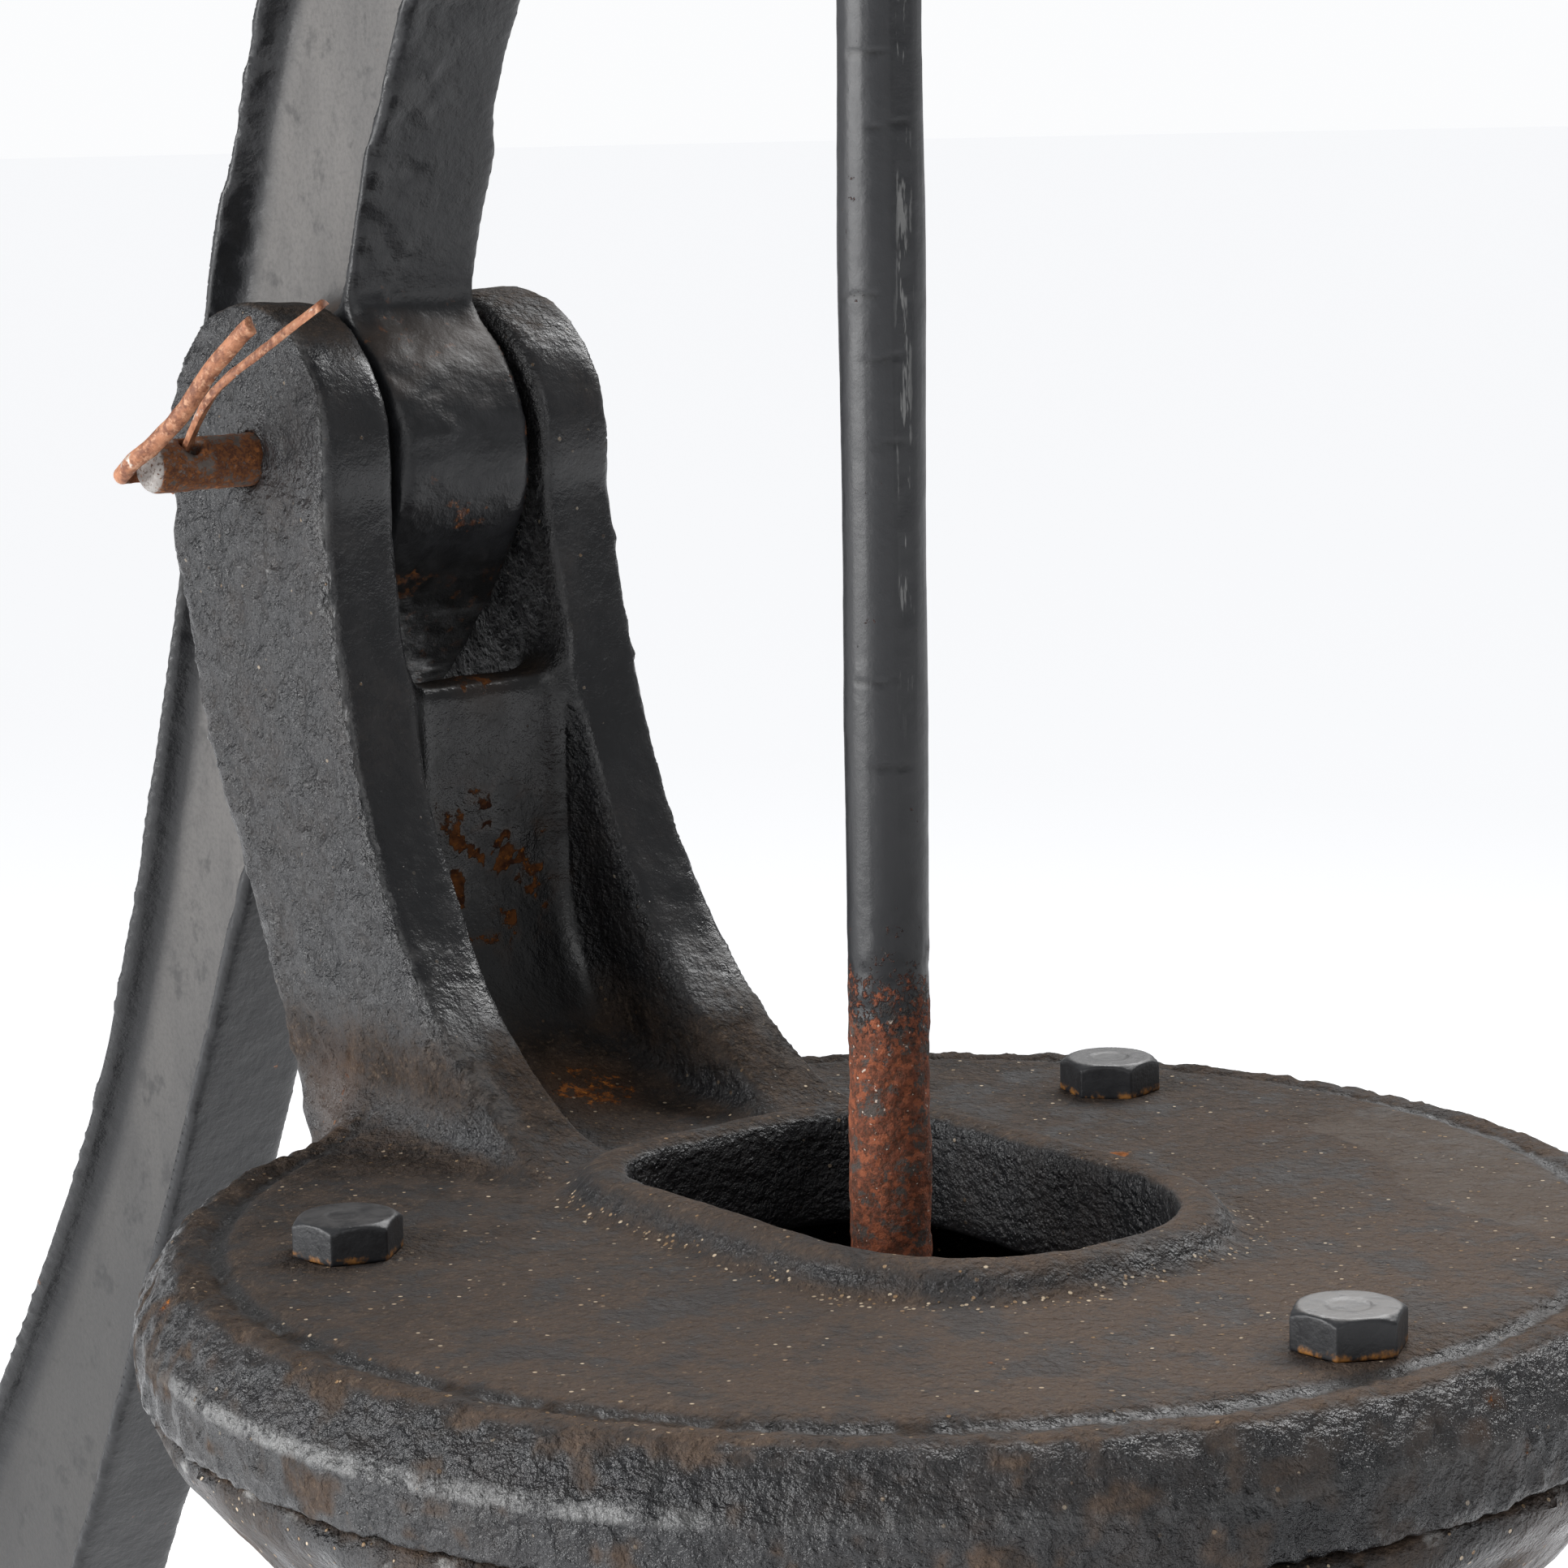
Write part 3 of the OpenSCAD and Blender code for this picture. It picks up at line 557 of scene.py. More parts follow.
def bolt_paint():
    """Smooth semi-gloss black paint on a hex head, dusty on top and rusty at its foot."""
    f = Finish("bolt_paint")
    seed = 80.0
    z = f.split(f.place)[2]
    up = f.split(f.coords.outputs["Normal"])[2]
    mottle = f.noise(2.5, 3, 0.6, seed)
    grain = f.noise(0.5, 3, 0.6, seed + 1)
    colour = f.tint(mottle, tuple(c * 1.1 for c in PAINT), tuple(c * 2.2 for c in PAINT))
    right = f.band(f.split(f.place)[0], 30 * MM, 70 * MM, 0.3, 1.0)
    colour = f.tint(f.times(f.times(f.band(up, 0.8, 1.0), right), f.band(mottle, 0.35, 0.6, 0.4, 0.9)), colour,
                    (0.12, 0.112, 0.105))
    foot = f.band(f.add(z, f.times(f.add(grain, -0.5), 1.6 * MM)), CAP_TOP + 0.9 * MM, CAP_TOP + 0.1 * MM)
    foot = f.times(foot, f.band(mottle, 0.45, 0.6))
    colour = f.tint(foot, colour, (0.3, 0.13, 0.03))
    rubbed = f.times(f.band(f.attribute("wear"), 0.05, 0.1), f.band(grain, 0.45, 0.6))
    colour = f.tint(f.times(rubbed, 0.35), colour, BARE)
    f.set("Base Color", colour)
    f.set("Roughness", f.band(mottle, 0.3, 0.7, 0.36, 0.52))
    f.set("Normal", f.bump(grain, 0.05, f.bump(mottle, 0.12)))
    return f.material


def rusty_steel(name, base, rust_share, metal, rough, seed):
    """Bare steel browned by surface rust, with bright rubbed spots."""
    f = Finish(name)
    wear = f.attribute("wear")
    patch = f.noise(2.6, 4, 0.65, seed)
    grain = f.noise(0.45, 3, 0.6, seed + 1)
    rust = f.band(f.add(patch, f.times(f.add(grain, -0.5), 0.5)), 1 - rust_share, 1.12 - rust_share)
    brown = f.tint(f.band(grain, 0.4, 0.62), RUST_DARK, tuple(0.6 * c for c in RUST))
    brown = f.tint(f.band(f.noise(1.3, 3, 0.7, seed + 2), 0.55, 0.66), brown, RUST)
    colour = f.tint(rust, base, brown)
    rubbed = f.times(f.band(wear, 0.05, 0.12), f.band(grain, 0.35, 0.5))
    colour = f.tint(rubbed, colour, (0.42, 0.4, 0.38))
    f.set("Base Color", colour)
    f.set("Metallic", f.times(f.math("MAXIMUM", f.band(rust, 1.0, 0.0), rubbed), metal))
    f.set("Roughness", f.blend(rust, rough, 0.75))
    f.set("Normal", f.bump(grain, 0.06, f.bump(patch, 0.12)))
    return f.material


def cotter_copper():
    """Orange-brown rust on half-round wire, rubbed bright in places."""
    f = Finish("cotter_copper")
    seed = 120.0
    patch = f.noise(2.2, 4, 0.7, seed)
    grain = f.noise(0.4, 3, 0.65, seed + 1)
    colour = f.tint(f.band(patch, 0.38, 0.6), (0.16, 0.05, 0.02), (0.4, 0.165, 0.08))
    colour = f.tint(f.band(f.noise(0.9, 4, 0.7, seed + 2), 0.5, 0.64), colour, (0.5, 0.26, 0.15))
    bright = f.band(f.noise(3.1, 3, 0.6, seed + 3), 0.6, 0.66)
    colour = f.tint(f.times(bright, 0.8), colour, (0.72, 0.66, 0.58))
    f.set("Base Color", colour)
    f.set("Metallic", f.times(bright, 0.8))
    f.set("Roughness", f.blend(bright, 0.62, 0.35))
    f.set("Normal", f.bump(grain, 0.08))
    return f.material


def brass_old():
    f = Finish("brass_old")
    patch = f.noise(5, 4, 0.6, 140.0)
    grain = f.noise(0.6, 3, 0.6, 141.0)
    colour = f.tint(f.band(patch, 0.4, 0.62), (0.5, 0.36, 0.15), (0.16, 0.12, 0.06))
    f.set("Base Color", f.tint(f.band(grain, 0.58, 0.7), colour, (0.1, 0.16, 0.11)))
    f.shader.inputs["Metallic"].default_value = 0.85
    f.set("Roughness", f.band(patch, 0.3, 0.7, 0.32, 0.6))
    f.set("Normal", f.bump(grain, 0.05))
    return f.material


def oiled_leather(name, seed):
    """Brown leather with creases, pores and darker oily patches."""
    f = Finish(name)
    pores, _ = f.cells(1.1, seed)
    creases = f.noise(3.5, 5, 0.7, seed + 1, distortion=1.2)
    patch = f.noise(14, 3, 0.6, seed + 2)
    colour = f.tint(f.band(patch, 0.35, 0.65), (0.23, 0.125, 0.06), (0.1, 0.05, 0.024))
    colour = f.tint(f.band(creases, 0.55, 0.72), colour, (0.055, 0.028, 0.015))
    f.set("Base Color", colour)
    f.set("Roughness", f.band(patch, 0.3, 0.7, 0.6, 0.42))
    f.set("Normal", f.bump(creases, 0.35, f.bump(pores, 0.12)))
    return f.material


# ---------- castings ----------

def lumpy(mesh, parts, seed):
    """Pushes the skin in and out along its normals: parts are (size in mm, depth in mm, weight)."""
    co, n = positions(mesh), normals(mesh)
    shift = np.zeros(len(co))
    for i, (size, depth, weight) in enumerate(parts):
        shift += depth * MM * weight * (fractal(co, size * MM, 2, seed + 10 * i) - 0.25)
    move(mesh, co + n * shift[:, None])


def cap_bearer():
    voxel = 0.8 * MM
    raw = Clay.of_node("cap_bearer", voxel, 10.5 * MM)
    soft = raw.filleted(2.6 * MM)
    deep = raw.filleted(8 * MM)

    def at_ear_feet(x, y, z):
        behind = step(x, -66 * MM, -84 * MM)
        beside = step(np.abs(y), 19 * MM, 24 * MM)
        low = step(z, CAP_TOP + 26 * MM, CAP_TOP + 14 * MM)
        return behind * beside * low

    def at_rim(x, y, z):
        outside = step(np.hypot(x, y), 86.5 * MM, 88.5 * MM) * step(z, CAP_TOP + 2.5 * MM, CAP_TOP + 1 * MM)
        at_ears = step(x, -52 * MM, -64 * MM) * step(np.abs(y), 44 * MM, 37 * MM)
        return outside * (1 - at_ears)

    def at_lip(x, y, z):
        along = step(np.maximum(np.abs(x) - SLOT_FRONT, np.abs(y) - SLOT_HALF_WIDTH), 11 * MM, 8.5 * MM)
        return along * step(x, -38 * MM, -30 * MM)

    body = soft.blended(raw.filleted(0.9 * MM), at_lip).blended(deep, at_ear_feet).rounded(1.4 * MM)
    mesh = body.blended(raw.rounded(0.5 * MM), at_rim).mesh("cap_bearer")
    co, n = positions(mesh), normals(mesh)
    x, y, z = co[:, 0], co[:, 1], co[:, 2] - CAP_TOP
    r = np.hypot(x, y)
    on_ear = step(z, 3 * MM, 9 * MM)
    outer = step(np.abs(y), 22 * MM, 25 * MM) * step(np.abs(n[:, 1]), 0.5, 0.8) * on_ear
    face = step(n[:, 0], 0.5, 0.85) * on_ear
    rim = step(r, 88 * MM, 90 * MM) * (1 - on_ear)
    top = step(n[:, 2], 0.7, 0.95) * (1 - on_ear) * (1 - rim)
    everywhere = np.ones(len(co))
    lumpy(mesh, [
        (26, 0.5, everywhere - 0.6 * top - 0.7 * rim),
        (7, 0.5, 0.35 + 0.5 * outer - 0.1 * rim - 0.15 * top - 0.2 * face),
        (3.4, 0.42, 0.2 + 0.75 * outer + 0.5 * rim - 0.05 * top),
        (1.9, 0.5, outer + 0.8 * rim + 0.15 - 0.1 * face),
    ], 5)
    flaked = beyond_flake_line(co) * top
    co, n = positions(mesh), normals(mesh)
    move(mesh, co - n * (0.28 * MM * flaked)[:, None])
    paint_relief(mesh)
    band = step(np.abs(r - DUST_BAND_R), 3.2 * MM, 1.4 * MM) * step(n[:, 2], 0.5, 0.9)
    to_left = step(y, -10 * MM, -60 * MM)
    mottled = fractal(co, 6 * MM, 3, 71)
    lip_foot = near_slot_foot(co) * step(n[:, 2], 0.5, 0.9)
    # Painted highlight mask: a line on the rim's lower outer corner, strongest on the -y side towards the key
    # light, and a fainter line along the ears' front edges.
    corner = step(np.hypot(r - RIM_CORNER_R, z + RIM_CORNER_DROP), 1.5 * MM, 0.6 * MM)
    azimuth = np.degrees(np.arctan2(y, x)) + 8 * fractal(co, 12 * MM, 2, 79)
    corner *= 0.15 + 0.85 * step(np.abs(azimuth + 80), 30, 14)
    ear_edge = on_ear * step(n[:, 0], 0.3, 0.5) * step(n[:, 0], 0.85, 0.65) * step(np.abs(y), 22 * MM, 24 * MM)
    paint(mesh, "rust", (
        0.4 * near(co, (-96, -33, 4), 15) + 0.7 * near(co, (96.5, 7.5, -4), 13) * step(mottled, -0.2, 0.3)
        + 0.8 * near(co, (-96, -1, 33), 20) * step(n[:, 0], 0.3, 0.8) * step(fractal(co, 3 * MM, 3, 83), 0, 0.2)
        + 0.6 * near(co, (-74, 2, 5), 13) + 0.5 * near(co, (-100, 0, 60), 9)
        + 0.8 * near(co, (-3.4, 40.3, 0), 3) + 0.3 * near(co, (0, 65, 0), 11)
        + 0.8 * near(co, (-37, -89, -5), 3.5) + 0.8 * near(co, (-14, -99, -3), 3)
    ))
    slope = rim * (1 - band) * step(mottled, 0.1, 0.45)
    paint(mesh, "dust", band * step(mottled, -0.25, 0.3) * (0.35 + 0.5 * to_left) + 0.25 * flaked
          + (0.25 + 0.6 * to_left) * slope + 0.75 * on_ear * step(z, 20 * MM, 9 * MM) * (1 - 0.6 * face))
    paint(mesh, "smooth", np.clip(face + 0.4 * between_ears(co), 0, 1))
    paint(mesh, "grit", 0.62 * lip_foot + 0.3 * band * to_left * step(mottled, 0.0, 0.5) + 0.05 * top)
    paint(mesh, "clean", np.clip(outer + rim * (1 - band) + 0.9 * face, 0, 1))
    # Painted highlight along the rim's corner and the ears' front edges
    paint(mesh, "edge", np.clip(corner + 0.3 * ear_edge, 0, 1))
    paint(mesh, "flaked", flaked)
    # Painted shade: near black between the ears above the cap, and a painted shadow line along the groove round
    # the cap's disc.
    groove = step(np.abs(r - GROOVE_R), 1.7 * MM, 0.6 * MM) * step(z, 2.5 * MM, 1.2 * MM)
    paint(mesh, "shade", np.clip(between_ears(co) + 0.9 * groove, 0, 1))
    return mesh


def between_ears(points):
    """1 in the gap between the bearer's ears, above the cap."""
    x, y, z = points[:, 0], points[:, 1], points[:, 2] - CAP_TOP
    return step(np.abs(y), 14.5 * MM, 12.5 * MM) * step(z, 2 * MM, 10 * MM) * step(x, -80 * MM, -92 * MM)


def beyond_flake_line(points):
    """1 where the top coat of the cap has come off, behind a wavy line right of the slot."""
    x, y = points[:, 0], points[:, 1]
    line = 69.6 * MM + step(x, 10 * MM, 44 * MM) * -14.7 * MM + step(x, 58 * MM, 80 * MM) * 12 * MM
    wavy = 2.2 * MM * fractal(points, 9 * MM, 3, 77)
    return step(y - line - wavy, -0.3 * MM, 0.5 * MM) * step(x, -4 * MM, 6 * MM)


def near_slot_foot(points):
    """1 along the line where the slot's raised lip meets the cap, and 0 away from it."""
    half_x, half_y, corner = 37.5 * MM, SLOT_HALF_WIDTH, 18 * MM
    qx = np.abs(points[:, 0] - 0.5 * MM) - half_x + corner
    qy = np.abs(points[:, 1]) - half_y + corner
    outside = np.hypot(np.maximum(qx, 0), np.maximum(qy, 0)) + np.minimum(np.maximum(qx, qy), 0) - corner
    near_top = step(np.abs(points[:, 2] - CAP_TOP), 2.2 * MM, 0.4 * MM)
    return (1 - step(np.abs(outside - 8.4 * MM), 0.3 * MM, 3.2 * MM)) * near_top


def pump_body():
    mesh = Clay.of_node("pump_body", 1.5 * MM, 9 * MM).filleted(5 * MM).rounded(1.6 * MM).mesh("pump_body")
    co = positions(mesh)
    r = np.hypot(co[:, 0], co[:, 1])
    outer = step(r, 42 * MM, 45 * MM)
    lumpy(mesh, [(30, 0.6, outer), (9, 0.6, outer), (4.5, 0.4, outer)], 105)
    paint_relief(mesh)
    z = co[:, 2]
    bell = step(z, CAP_TOP - 46 * MM, CAP_TOP - 40 * MM)
    mouth = np.array([154.7, 0, 253.4]) * MM
    paint(mesh, "rust", (
        0.55 * (1 - step(np.linalg.norm(co - mouth, axis=1), 10 * MM, 34 * MM))
        + 0.35 * bell * step(fractal(co, 18 * MM, 2, 8), 0.0, 0.6)
        + 0.4 * step(z, 82 * MM, 74 * MM) * step(fractal(co, 22 * MM, 2, 9), -0.1, 0.5)
        + 0.7 * (1 - outer)
    ))
    paint(mesh, "dust", 0.45 * bell * step(fractal(co, 9 * MM, 3, 12), -0.3, 0.4))
    paint(mesh, "grit", 0.12 * bell)
    return mesh


def base_foot():
    mesh = Clay.of_node("base_foot", 1.4 * MM, 9 * MM).filleted(5 * MM).rounded(1.6 * MM).mesh("base_foot")
    co, n = positions(mesh), normals(mesh)
    r = np.hypot(co[:, 0], co[:, 1])
    skin = step(r, 30 * MM, 33 * MM) * step(n[:, 2], -0.98, -0.7)
    lumpy(mesh, [(28, 0.6, skin), (8, 0.6, skin), (4.2, 0.4, skin)], 205)
    paint_relief(mesh)
    paint(mesh, "rust", 0.45 * step(fractal(co, 26 * MM, 2, 14), 0.05, 0.6) + 0.5 * step(r, 32 * MM, 26 * MM)
          + 0.35 * step(r, 78 * MM, 84 * MM))
    paint(mesh, "dust", 0.25 * step(fractal(co, 12 * MM, 3, 15), 0, 0.5))
    paint(mesh, "grit", 0.16 * step(n[:, 2], 0.6, 0.95))
    return mesh


def handle_lever():
    raw = Clay.of_node("handle_lever", 0.85 * MM, 6 * MM)
    mesh = raw.filleted(3.2 * MM).rounded(1.15 * MM).mesh("handle_lever")
    co, n = positions(mesh), normals(mesh)
    from_hub = np.hypot(co[:, 0] - FULCRUM[0], co[:, 2] - FULCRUM[2])
    web = step(np.abs(co[:, 1]), 6.4 * MM, 5.4 * MM) * step(np.abs(n[:, 1]), 0.75, 0.95)
    web = averaged(mesh, web * step(from_hub, 20 * MM, 26 * MM), 4)[:, 0]
    front = step(n[:, 0], 0.2, 0.7)
    high = step(co[:, 2], FULCRUM[2] - 10 * MM, FULCRUM[2] + 15 * MM)
    throat = step(co[:, 2], FULCRUM[2] - 12 * MM, FULCRUM[2] - 20 * MM) * step(from_hub, 62 * MM, 50 * MM)
    throat = throat * step(n[:, 0], 0.1, 0.5)
    lumpy(mesh, [
        (24, 0.5, np.ones(len(co))),
        (6.5, 0.5, 0.2 + 0.6 * high * front * step(co[:, 1], 4 * MM, -4 * MM)
         + 0.5 * step(from_hub, 26 * MM, 22 * MM)),
        (3.0, 0.4, 0.15 + 0.85 * high * front * step(co[:, 1], 2 * MM, -3 * MM) - 0.1 * web + 0.9 * throat),
    ], 305)
    paint_relief(mesh)
    paint(mesh, "web", np.clip(web, 0, 1))
    paint(mesh, "rust", (
        0.5 * step(np.abs(from_hub - 20.5 * MM), 2 * MM, 0) * step(co[:, 1], 9.5 * MM, 11.5 * MM)
        + 0.35 * near(co, (-101, 0, 85), 6) + 0.3 * near(co, (-116, -4, 116), 9) + 0.35 * throat
        + 0.3 * step(from_hub, 25 * MM, 22 * MM) * step(fractal(co, 5 * MM, 3, 91), 0.05, 0.4)
    ))
    # Painted shade in the throat below the hub, on its front-facing side where the gusset runs down.
    paint(mesh, "shade", throat)
    return mesh


def pump_rod():
    voxel = 0.55 * MM
    mesh = Clay.of_node("pump_rod", voxel, 5 * MM).filleted(4 * MM).rounded(0.8 * MM).mesh("pump_rod")
    co, n = positions(mesh), normals(mesh)
    z = co[:, 2] - CAP_TOP
    around = np.degrees(np.arctan2(n[:, 1], n[:, 0]))
    scraped = step(np.abs(around + 8), 15, 7) * step(z, 60 * MM, 85 * MM) * step(z, 215 * MM, 190 * MM)
    below = step(z, 48 * MM, 20 * MM)
    nick = np.zeros(len(co))
    for height, width, angle in ((150, 0.5, -60), (141, 0.35, -30), (120, 0.45, -75), (112, 0.5, -40),
                                 (101, 0.4, -20), (71, 0.35, -55), (60, 0.3, -35)):
        wavy = z - (height + 0.8 * noise(co, 5 * MM, height)) * MM
        nick += step(np.abs(wavy), width * MM, 0) * step(np.abs(around - angle), 40, 22)
    lumpy(mesh, [
        (40, 0.25, np.ones(len(co))),
        (3.2, 0.16, 0.3 + below), (1.6, 0.2, below),
        (5, 0.22, scraped),
    ], 405)
    co = positions(mesh)
    move(mesh, co - n * (0.22 * MM * np.clip(nick, 0, 1) + 0.18 * MM * scraped)[:, None])
    paint(mesh, "scraped", scraped)
    paint(mesh, "nick", np.clip(nick, 0, 1))
    paint_relief(mesh)
    return mesh


def hex_bolts(node, places, head_low, head_high, af, shank_r, low, high):
    """A ring of hex heads with chamfered tops on plain shanks, as one mesh."""
    voxel = 0.3 * MM

    def head(x, y, z):
        flats = [np.abs(x * math.cos(a) + y * math.sin(a)) for a in (math.pi / 6, math.pi / 2, 5 * math.pi / 6)]
        sides = np.maximum(np.maximum(flats[0], flats[1]), flats[2]) - (af / 2 - 0.35 * MM)
        radius = np.sqrt(x * x + y * y)
        cone = (radius - af * 0.47) * 0.57 + (z - head_high + 0.35 * MM) * 0.82
        lid = np.maximum(z - head_high + 0.35 * MM, cone)
        body = np.maximum(np.maximum(sides, lid), head_low - z) - 0.35 * MM
        dish = 0.25 * MM - np.sqrt(np.maximum(radius - 2.6 * MM, 0) ** 2 + (z - head_high - 0.1 * MM) ** 2)
        shank = np.maximum(radius - shank_r, np.maximum(low - z, z - head_low - 1 * MM))
        return np.minimum(np.maximum(body, dish), shank)

    corner = af * 0.6
    one = Clay.of_formula(head, (-corner, -corner, low), (corner, corner, high), voxel).mesh(node)
    copies = []
    for x, y, turn in places:
        copy = one.copy()
        copy.transform(Matrix.Translation((x, y, 0)) @ Matrix.Rotation(math.radians(turn), 4, "Z"))
        copies.append(copy)
    return joined(copies, node)


def joined(meshes, name):
    points, faces, start = [], [], 0
    for mesh in meshes:
        co = positions(mesh)
        loops = np.empty(len(mesh.loops), np.int32)
        mesh.loops.foreach_get("vertex_index", loops)
        points.append(co)
        faces.append(loops + start)
        start += len(co)
    made = bpy.data.meshes.new(name)
    made.vertices.add(start)
    made.vertices.foreach_set("co", np.concatenate(points).astype(np.float32).ravel())
    loops = np.concatenate(faces)
    made.loops.add(len(loops))
    made.loops.foreach_set("vertex_index", loops)
    sizes = np.concatenate([[p.loop_total for p in mesh.polygons] for mesh in meshes])
    made.polygons.add(len(sizes))
    made.polygons.foreach_set("loop_start", np.concatenate([[0], np.cumsum(sizes)[:-1]]).astype(np.int32))
    made.update(calc_edges=True)
    return made


castings = [
    ("cap_bearer", cap_bearer, "cap_casting", painted_iron("cap_iron", seed=1.0)),
    ("pump_body", pump_body, "casting", painted_iron("body_iron", top_dust=0.7, seed=15.0)),
    ("base_foot", base_foot, "casting", painted_iron("foot_iron", top_dust=0.8, seed=25.0)),
    ("handle_lever", handle_lever, "lever_casting", lever_iron()),
    ("pump_rod", pump_rod, "rod_paint", rod_paint()),
]
for name, sculpt, slot, material in castings:
    add_piece(name + "_skin", sculpt(), BODY_OF[name], material, [name])

bolt_black = bolt_paint()
cap_bolt_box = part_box("cap_bolts")
bolt_places = [
    (BOLT_FRONT + BOLT_CIRCLE * math.cos(math.radians(a)), BOLT_CIRCLE * math.sin(math.radians(a)), turn)
    for a, turn in ((0, 4), (120, -17), (240, 11))
]
bolts = hex_bolts("cap_bolts", bolt_places, CAP_TOP, CAP_TOP + HEAD_H, BOLT_FLATS, BOLT_SHANK_R,
                  cap_bolt_box[0].z, CAP_TOP + HEAD_H)
paint_relief(bolts)
add_piece("cap_bolts_skin", bolts, BODY_OF["cap_bolts"], bolt_black, ["cap_bolts"])


def fulcrum_pin():
    mesh = Clay.of_node("fulcrum_pin", 0.32 * MM, 3 * MM).rounded(0.35 * MM).mesh("fulcrum_pin")
    lumpy(mesh, [(3, 0.12, 1.0), (1.2, 0.06, 1.0)], 505)
    paint_relief(mesh)
    end = step(positions(mesh)[:, 1], -40.7 * MM, -41.2 * MM)
    paint(mesh, "wear", 0.11 * end)
    return mesh


def swept(name, path, radius, flat_towards, flat):
    """Half-round wire bent through the path's points, its flat side turned the given way at the start."""
    knots = np.array(path, float) * MM
    ends = np.vstack([2 * knots[0] - knots[1], knots, 2 * knots[-1] - knots[-2]])
    line = []
    for a, b, c, d in zip(ends, ends[1:], ends[2:], ends[3:]):
        for t in np.linspace(0, 1, 10, endpoint=False):
            line.append(0.5 * (2 * b + (c - a) * t + (2 * a - 5 * b + 4 * c - d) * t**2
                               + (3 * b - a - 3 * c + d) * t**3))
    line = np.array(line + [knots[-1]])
    sides = 24
    points, faces = [], []
    out = -np.array(flat_towards, float)
    for i, centre in enumerate(line):
        along = line[min(i + 1, len(line) - 1)] - line[max(i - 1, 0)]
        along = along / np.linalg.norm(along)
        out = out - along * out.dot(along)
        out = out / np.linalg.norm(out)
        side = np.cross(along, out)
        for k in range(sides):
            turn = 2 * math.pi * k / sides
            points.append(centre + radius * MM * (max(math.cos(turn), -flat) * out + math.sin(turn) * side))
    last = (len(line) - 1) * sides
    for i in range(0, last, sides):
        for k in range(sides):
            j = (k + 1) % sides
            faces.append((i + k, i + j, i + sides + j, i + sides + k))
    faces.append(tuple(reversed(range(sides))))
    faces.append(tuple(last + k for k in range(sides)))
    mesh = bpy.data.meshes.new(name)
    mesh.from_pydata([tuple(p) for p in points], [], faces)
    return mesh


def fulcrum_cotter():
    place = Matrix.Translation(FULCRUM)
    through = swept("leg", [
        (-2.7, -35.5, -4), (-1.4, -35.5, -2.1), (0, -35.5, 0), (2.3, -35.5, 3.4), (8.4, -35.8, 9.1),
        (13.3, -34.5, 13), (18.9, -32.5, 16.6), (23.9, -31, 19.7), (30.4, -29.5, 23.3)],
        1.2, (0.5, 0.5, -0.6), 0.1)
    around = swept("leg", [
        (-5.3, -35.9, -1.6), (-5.5, -39.4, -1.3), (-4.4, -42.8, -1.2), (-1.6, -44.7, -0.9), (2, -44.8, 1.2),
        (5.6, -43.7, 3.5), (12, -42, 8.6), (16.8, -40.5, 14), (23.2, -39, 19.4), (25.8, -38.4, 21.1)],
        1.4, (0.9, 0.3, 0.2), 0.15)
    mesh = joined([through, around], "fulcrum_cotter")
    mesh.transform(place)
    lumpy(mesh, [(4, 0.12, 1.0), (1.5, 0.08, 1.0)], 555)
    paint_relief(mesh)
    return mesh


add_piece("fulcrum_pin_skin", fulcrum_pin(), BODY_OF["fulcrum_pin"],
          rusty_steel("pin_steel", BROWNED_STEEL, 0.62, 0.7, 0.45, 90.0), ["fulcrum_pin"])
add_piece("fulcrum_cotter_skin", fulcrum_cotter(), BODY_OF["fulcrum_cotter"],
          cotter_copper(), ["fulcrum_cotter"])

# Parts whose CAD shape is kept
kept = {
    "valve_gasket": oiled_leather("gasket_leather", 160.0),
    "flap_leather": oiled_leather("flap_hide", 165.0),
    "cup_leather": oiled_leather("cup_hide", 170.0),
    "poppet_facing": oiled_leather("facing_hide", 175.0),
    "flange_bolts": bolt_black, "flange_nuts": bolt_black,
    "rod_pin": rusty_steel("rod_pin_steel", BROWNED_STEEL, 0.6, 0.7, 0.45, 95.0),
    "rod_pin_cotter": cotter_copper(),
    "flap_weight": rusty_steel("weight_iron", (0.07, 0.065, 0.06), 0.5, 0.3, 0.6, 180.0),
    "rod_eye": rusty_steel("eye_iron", (0.09, 0.08, 0.07), 0.52, 0.4, 0.55, 185.0),
    "rod_locknut": rusty_steel("locknut_iron", (0.1, 0.09, 0.08), 0.5, 0.4, 0.5, 190.0),
    "plunger_cage": rusty_steel("cage_iron", OILED_IRON, 0.5, 0.4, 0.55, 195.0),
    "plunger_follower": rusty_steel("follower_iron", OILED_IRON, 0.5, 0.4, 0.55, 200.0),
    "plunger_pin": rusty_steel("plunger_pin_steel", (0.34, 0.3, 0.26), 0.42, 0.8, 0.4, 205.0),
    "plunger_rivets": rusty_steel("rivet_steel", (0.3, 0.27, 0.24), 0.45, 0.8, 0.45, 210.0),
    "flap_bolt": rusty_steel("flap_bolt_steel", OILED_STEEL, 0.42, 0.8, 0.4, 215.0),
    "flap_nut": rusty_steel("flap_nut_steel", OILED_STEEL, 0.42, 0.8, 0.4, 220.0),
    "poppet_valve": brass_old(),
}
for node, material in kept.items():
    mesh_slots = NODES[node].data.materials
    mesh_slots.clear()
    mesh_slots.append(material)

# ---------- floor, light and camera ----------

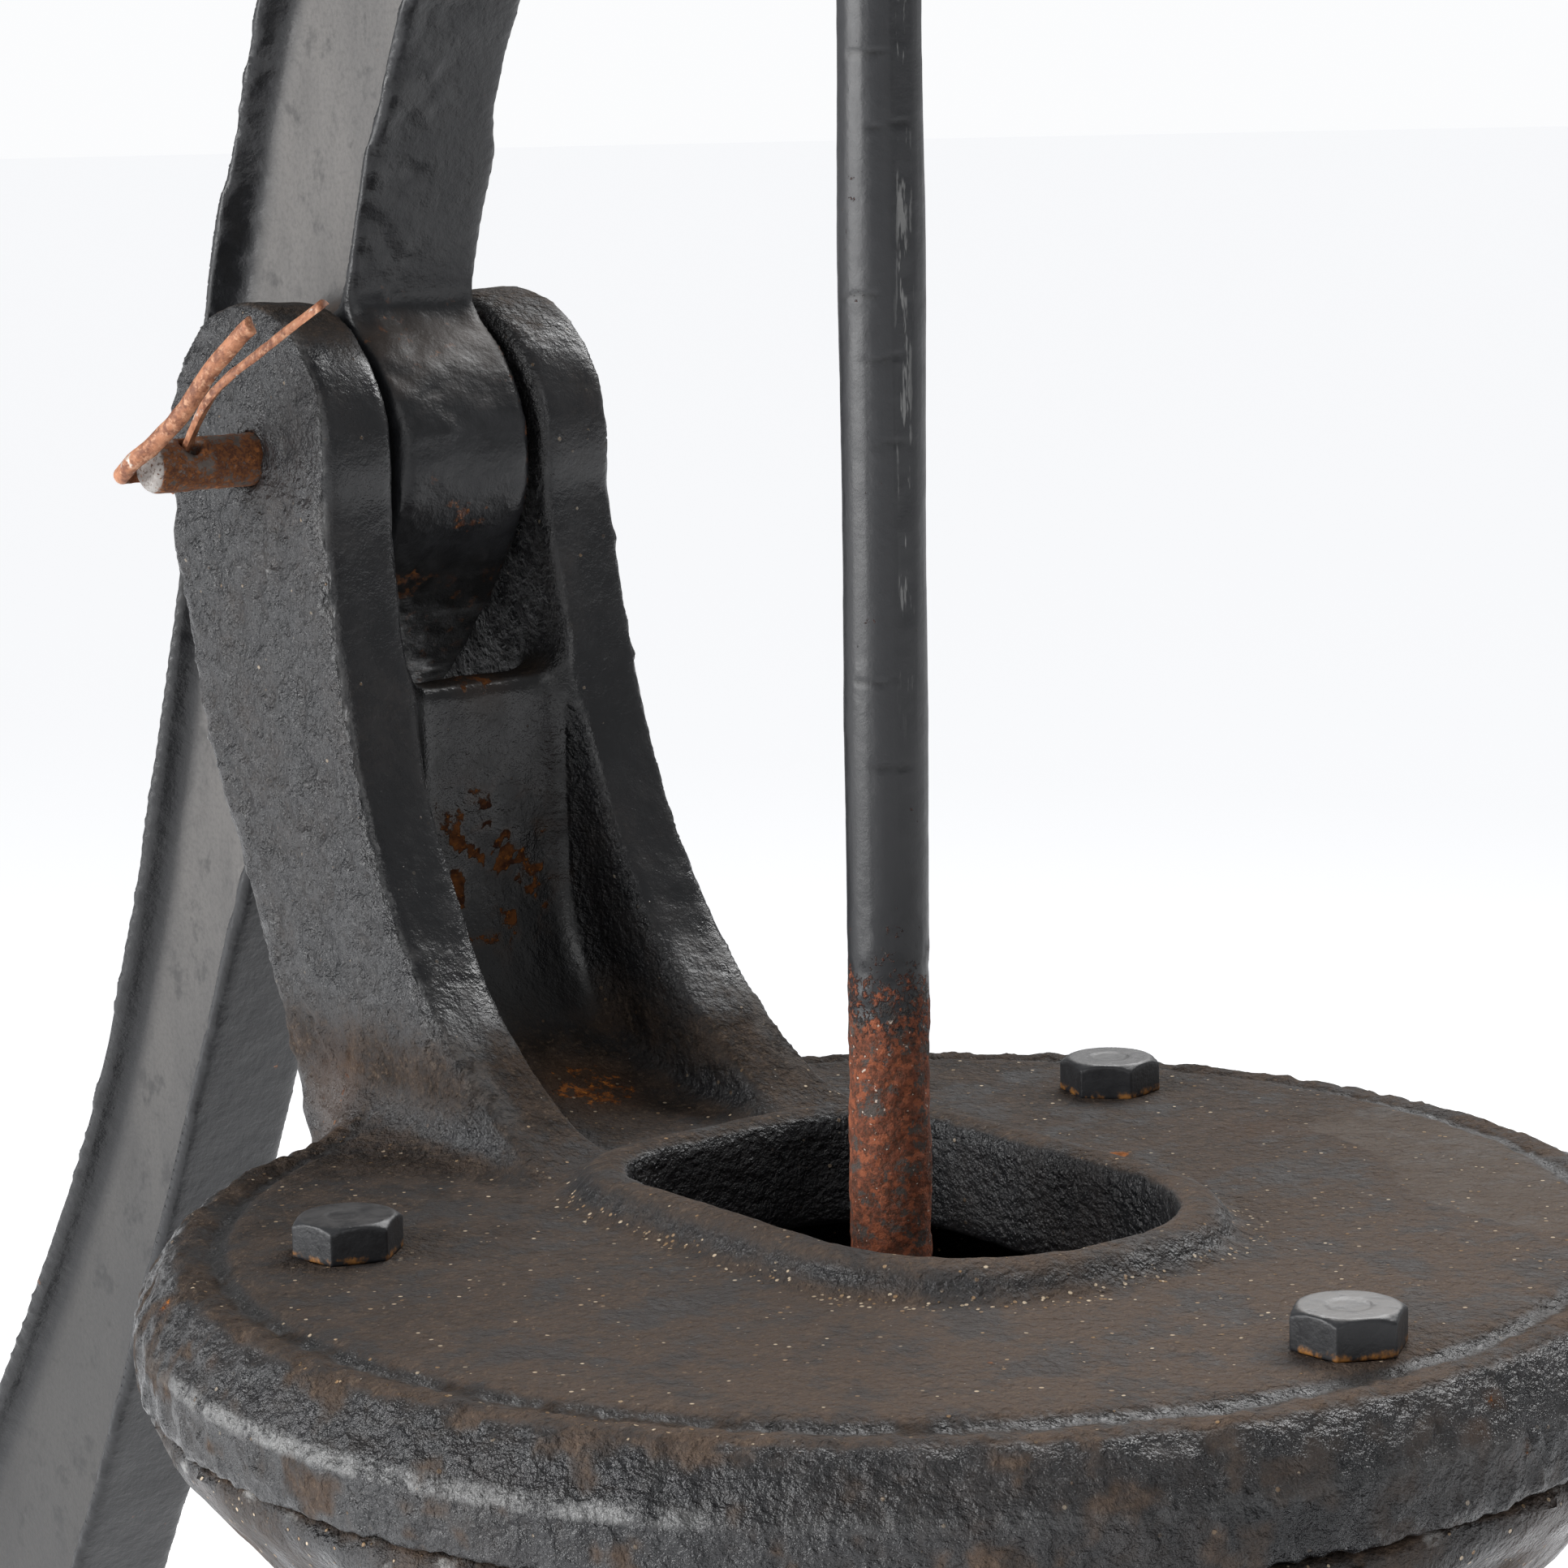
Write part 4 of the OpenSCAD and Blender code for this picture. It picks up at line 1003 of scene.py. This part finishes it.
def disc(name, radius, rings):
    mesh = bpy.data.meshes.new(name)
    sides = 64
    points = [(0, 0, 0)]
    faces = []
    for ring in range(1, rings + 1):
        r = radius * (ring / rings) ** 2
        points += [(r * math.cos(2 * math.pi * i / sides), r * math.sin(2 * math.pi * i / sides), 0)
                   for i in range(sides)]
    for i in range(sides):
        j = (i + 1) % sides
        faces.append((0, 1 + i, 1 + j))
        for ring in range(rings - 1):
            a = 1 + ring * sides
            faces.append((a + i, a + sides + i, a + sides + j, a + j))
    mesh.from_pydata(points, [], faces)
    return bpy.data.objects.new(name, mesh)


floor = disc("floor", 40, 8)
floor.location.z = -0.0005
bpy.context.scene.collection.objects.link(floor)
paper = Finish("floor_paper")
paper.shader.inputs["Base Color"].default_value = (0.5, 0.5, 0.505, 1)
paper.shader.inputs["Roughness"].default_value = 0.9
paper.shader.inputs["Emission Color"].default_value = (0.97, 0.98, 1.0, 1)
paper.shader.inputs["Emission Strength"].default_value = 0.8
floor.data.materials.append(paper.material)


def soft_light(name, at, towards, size, power):
    data = bpy.data.lights.new(name, "AREA")
    data.shape = "RECTANGLE"
    data.size, data.size_y = size
    data.energy = power
    light = bpy.data.objects.new(name, data)
    light.location = at
    light.rotation_mode = "QUATERNION"
    light.rotation_quaternion = (Vector(towards) - Vector(at)).to_track_quat("-Z", "Y")
    bpy.context.scene.collection.objects.link(light)


AIM = (0, 0, CAP_TOP)
soft_light("key_left", (-0.5, -1.3, 0.75), AIM, (1.1, 1.1), 26)
soft_light("top_back", (-0.45, 0.95, 1.35), AIM, (1.2, 0.8), 20)
soft_light("fill_front", (1.3, -0.6, 1.2), AIM, (0.8, 0.8), 3)

world = bpy.data.worlds.new("studio")
world.use_nodes = True
bpy.context.scene.world = world
sky = world.node_tree.nodes
rays = sky.new("ShaderNodeLightPath")
strength = sky.new("ShaderNodeMix")
strength.inputs[2].default_value = 0.3
strength.inputs[3].default_value = 1.0
world.node_tree.links.new(rays.outputs["Is Camera Ray"], strength.inputs[0])
world.node_tree.links.new(strength.outputs[0], sky["Background"].inputs["Strength"])
sky["Background"].inputs["Color"].default_value = (0.97, 0.975, 0.985, 1)
bpy.context.scene.view_settings.view_transform = "Standard"


def studio_camera():
    """Looks at the bearer and cap from the front left, a little above the cap."""
    azimuth, elevation, roll = math.radians(52.3), math.radians(9.3), math.radians(-1.2)
    back = Vector((math.sin(azimuth) * math.cos(elevation), -math.cos(azimuth) * math.cos(elevation),
                   math.sin(elevation)))
    right = Vector((math.cos(azimuth), math.sin(azimuth), 0))
    up = back.cross(right)
    side = right * math.cos(roll) + up * math.sin(roll)
    rise = up * math.cos(roll) - right * math.sin(roll)
    data = bpy.data.cameras.new("camera")
    data.sensor_width = 36
    data.lens = 97.6
    data.clip_start, data.clip_end = 0.01, 200
    camera = bpy.data.objects.new("camera", data)
    at = Vector((0.4208, -0.3443, CAP_TOP + 0.1461))
    camera.matrix_world = Matrix((
        (side.x, rise.x, back.x, at.x), (side.y, rise.y, back.y, at.y), (side.z, rise.z, back.z, at.z),
        (0, 0, 0, 1),
    ))
    bpy.context.scene.collection.objects.link(camera)
    bpy.context.scene.camera = camera


studio_camera()
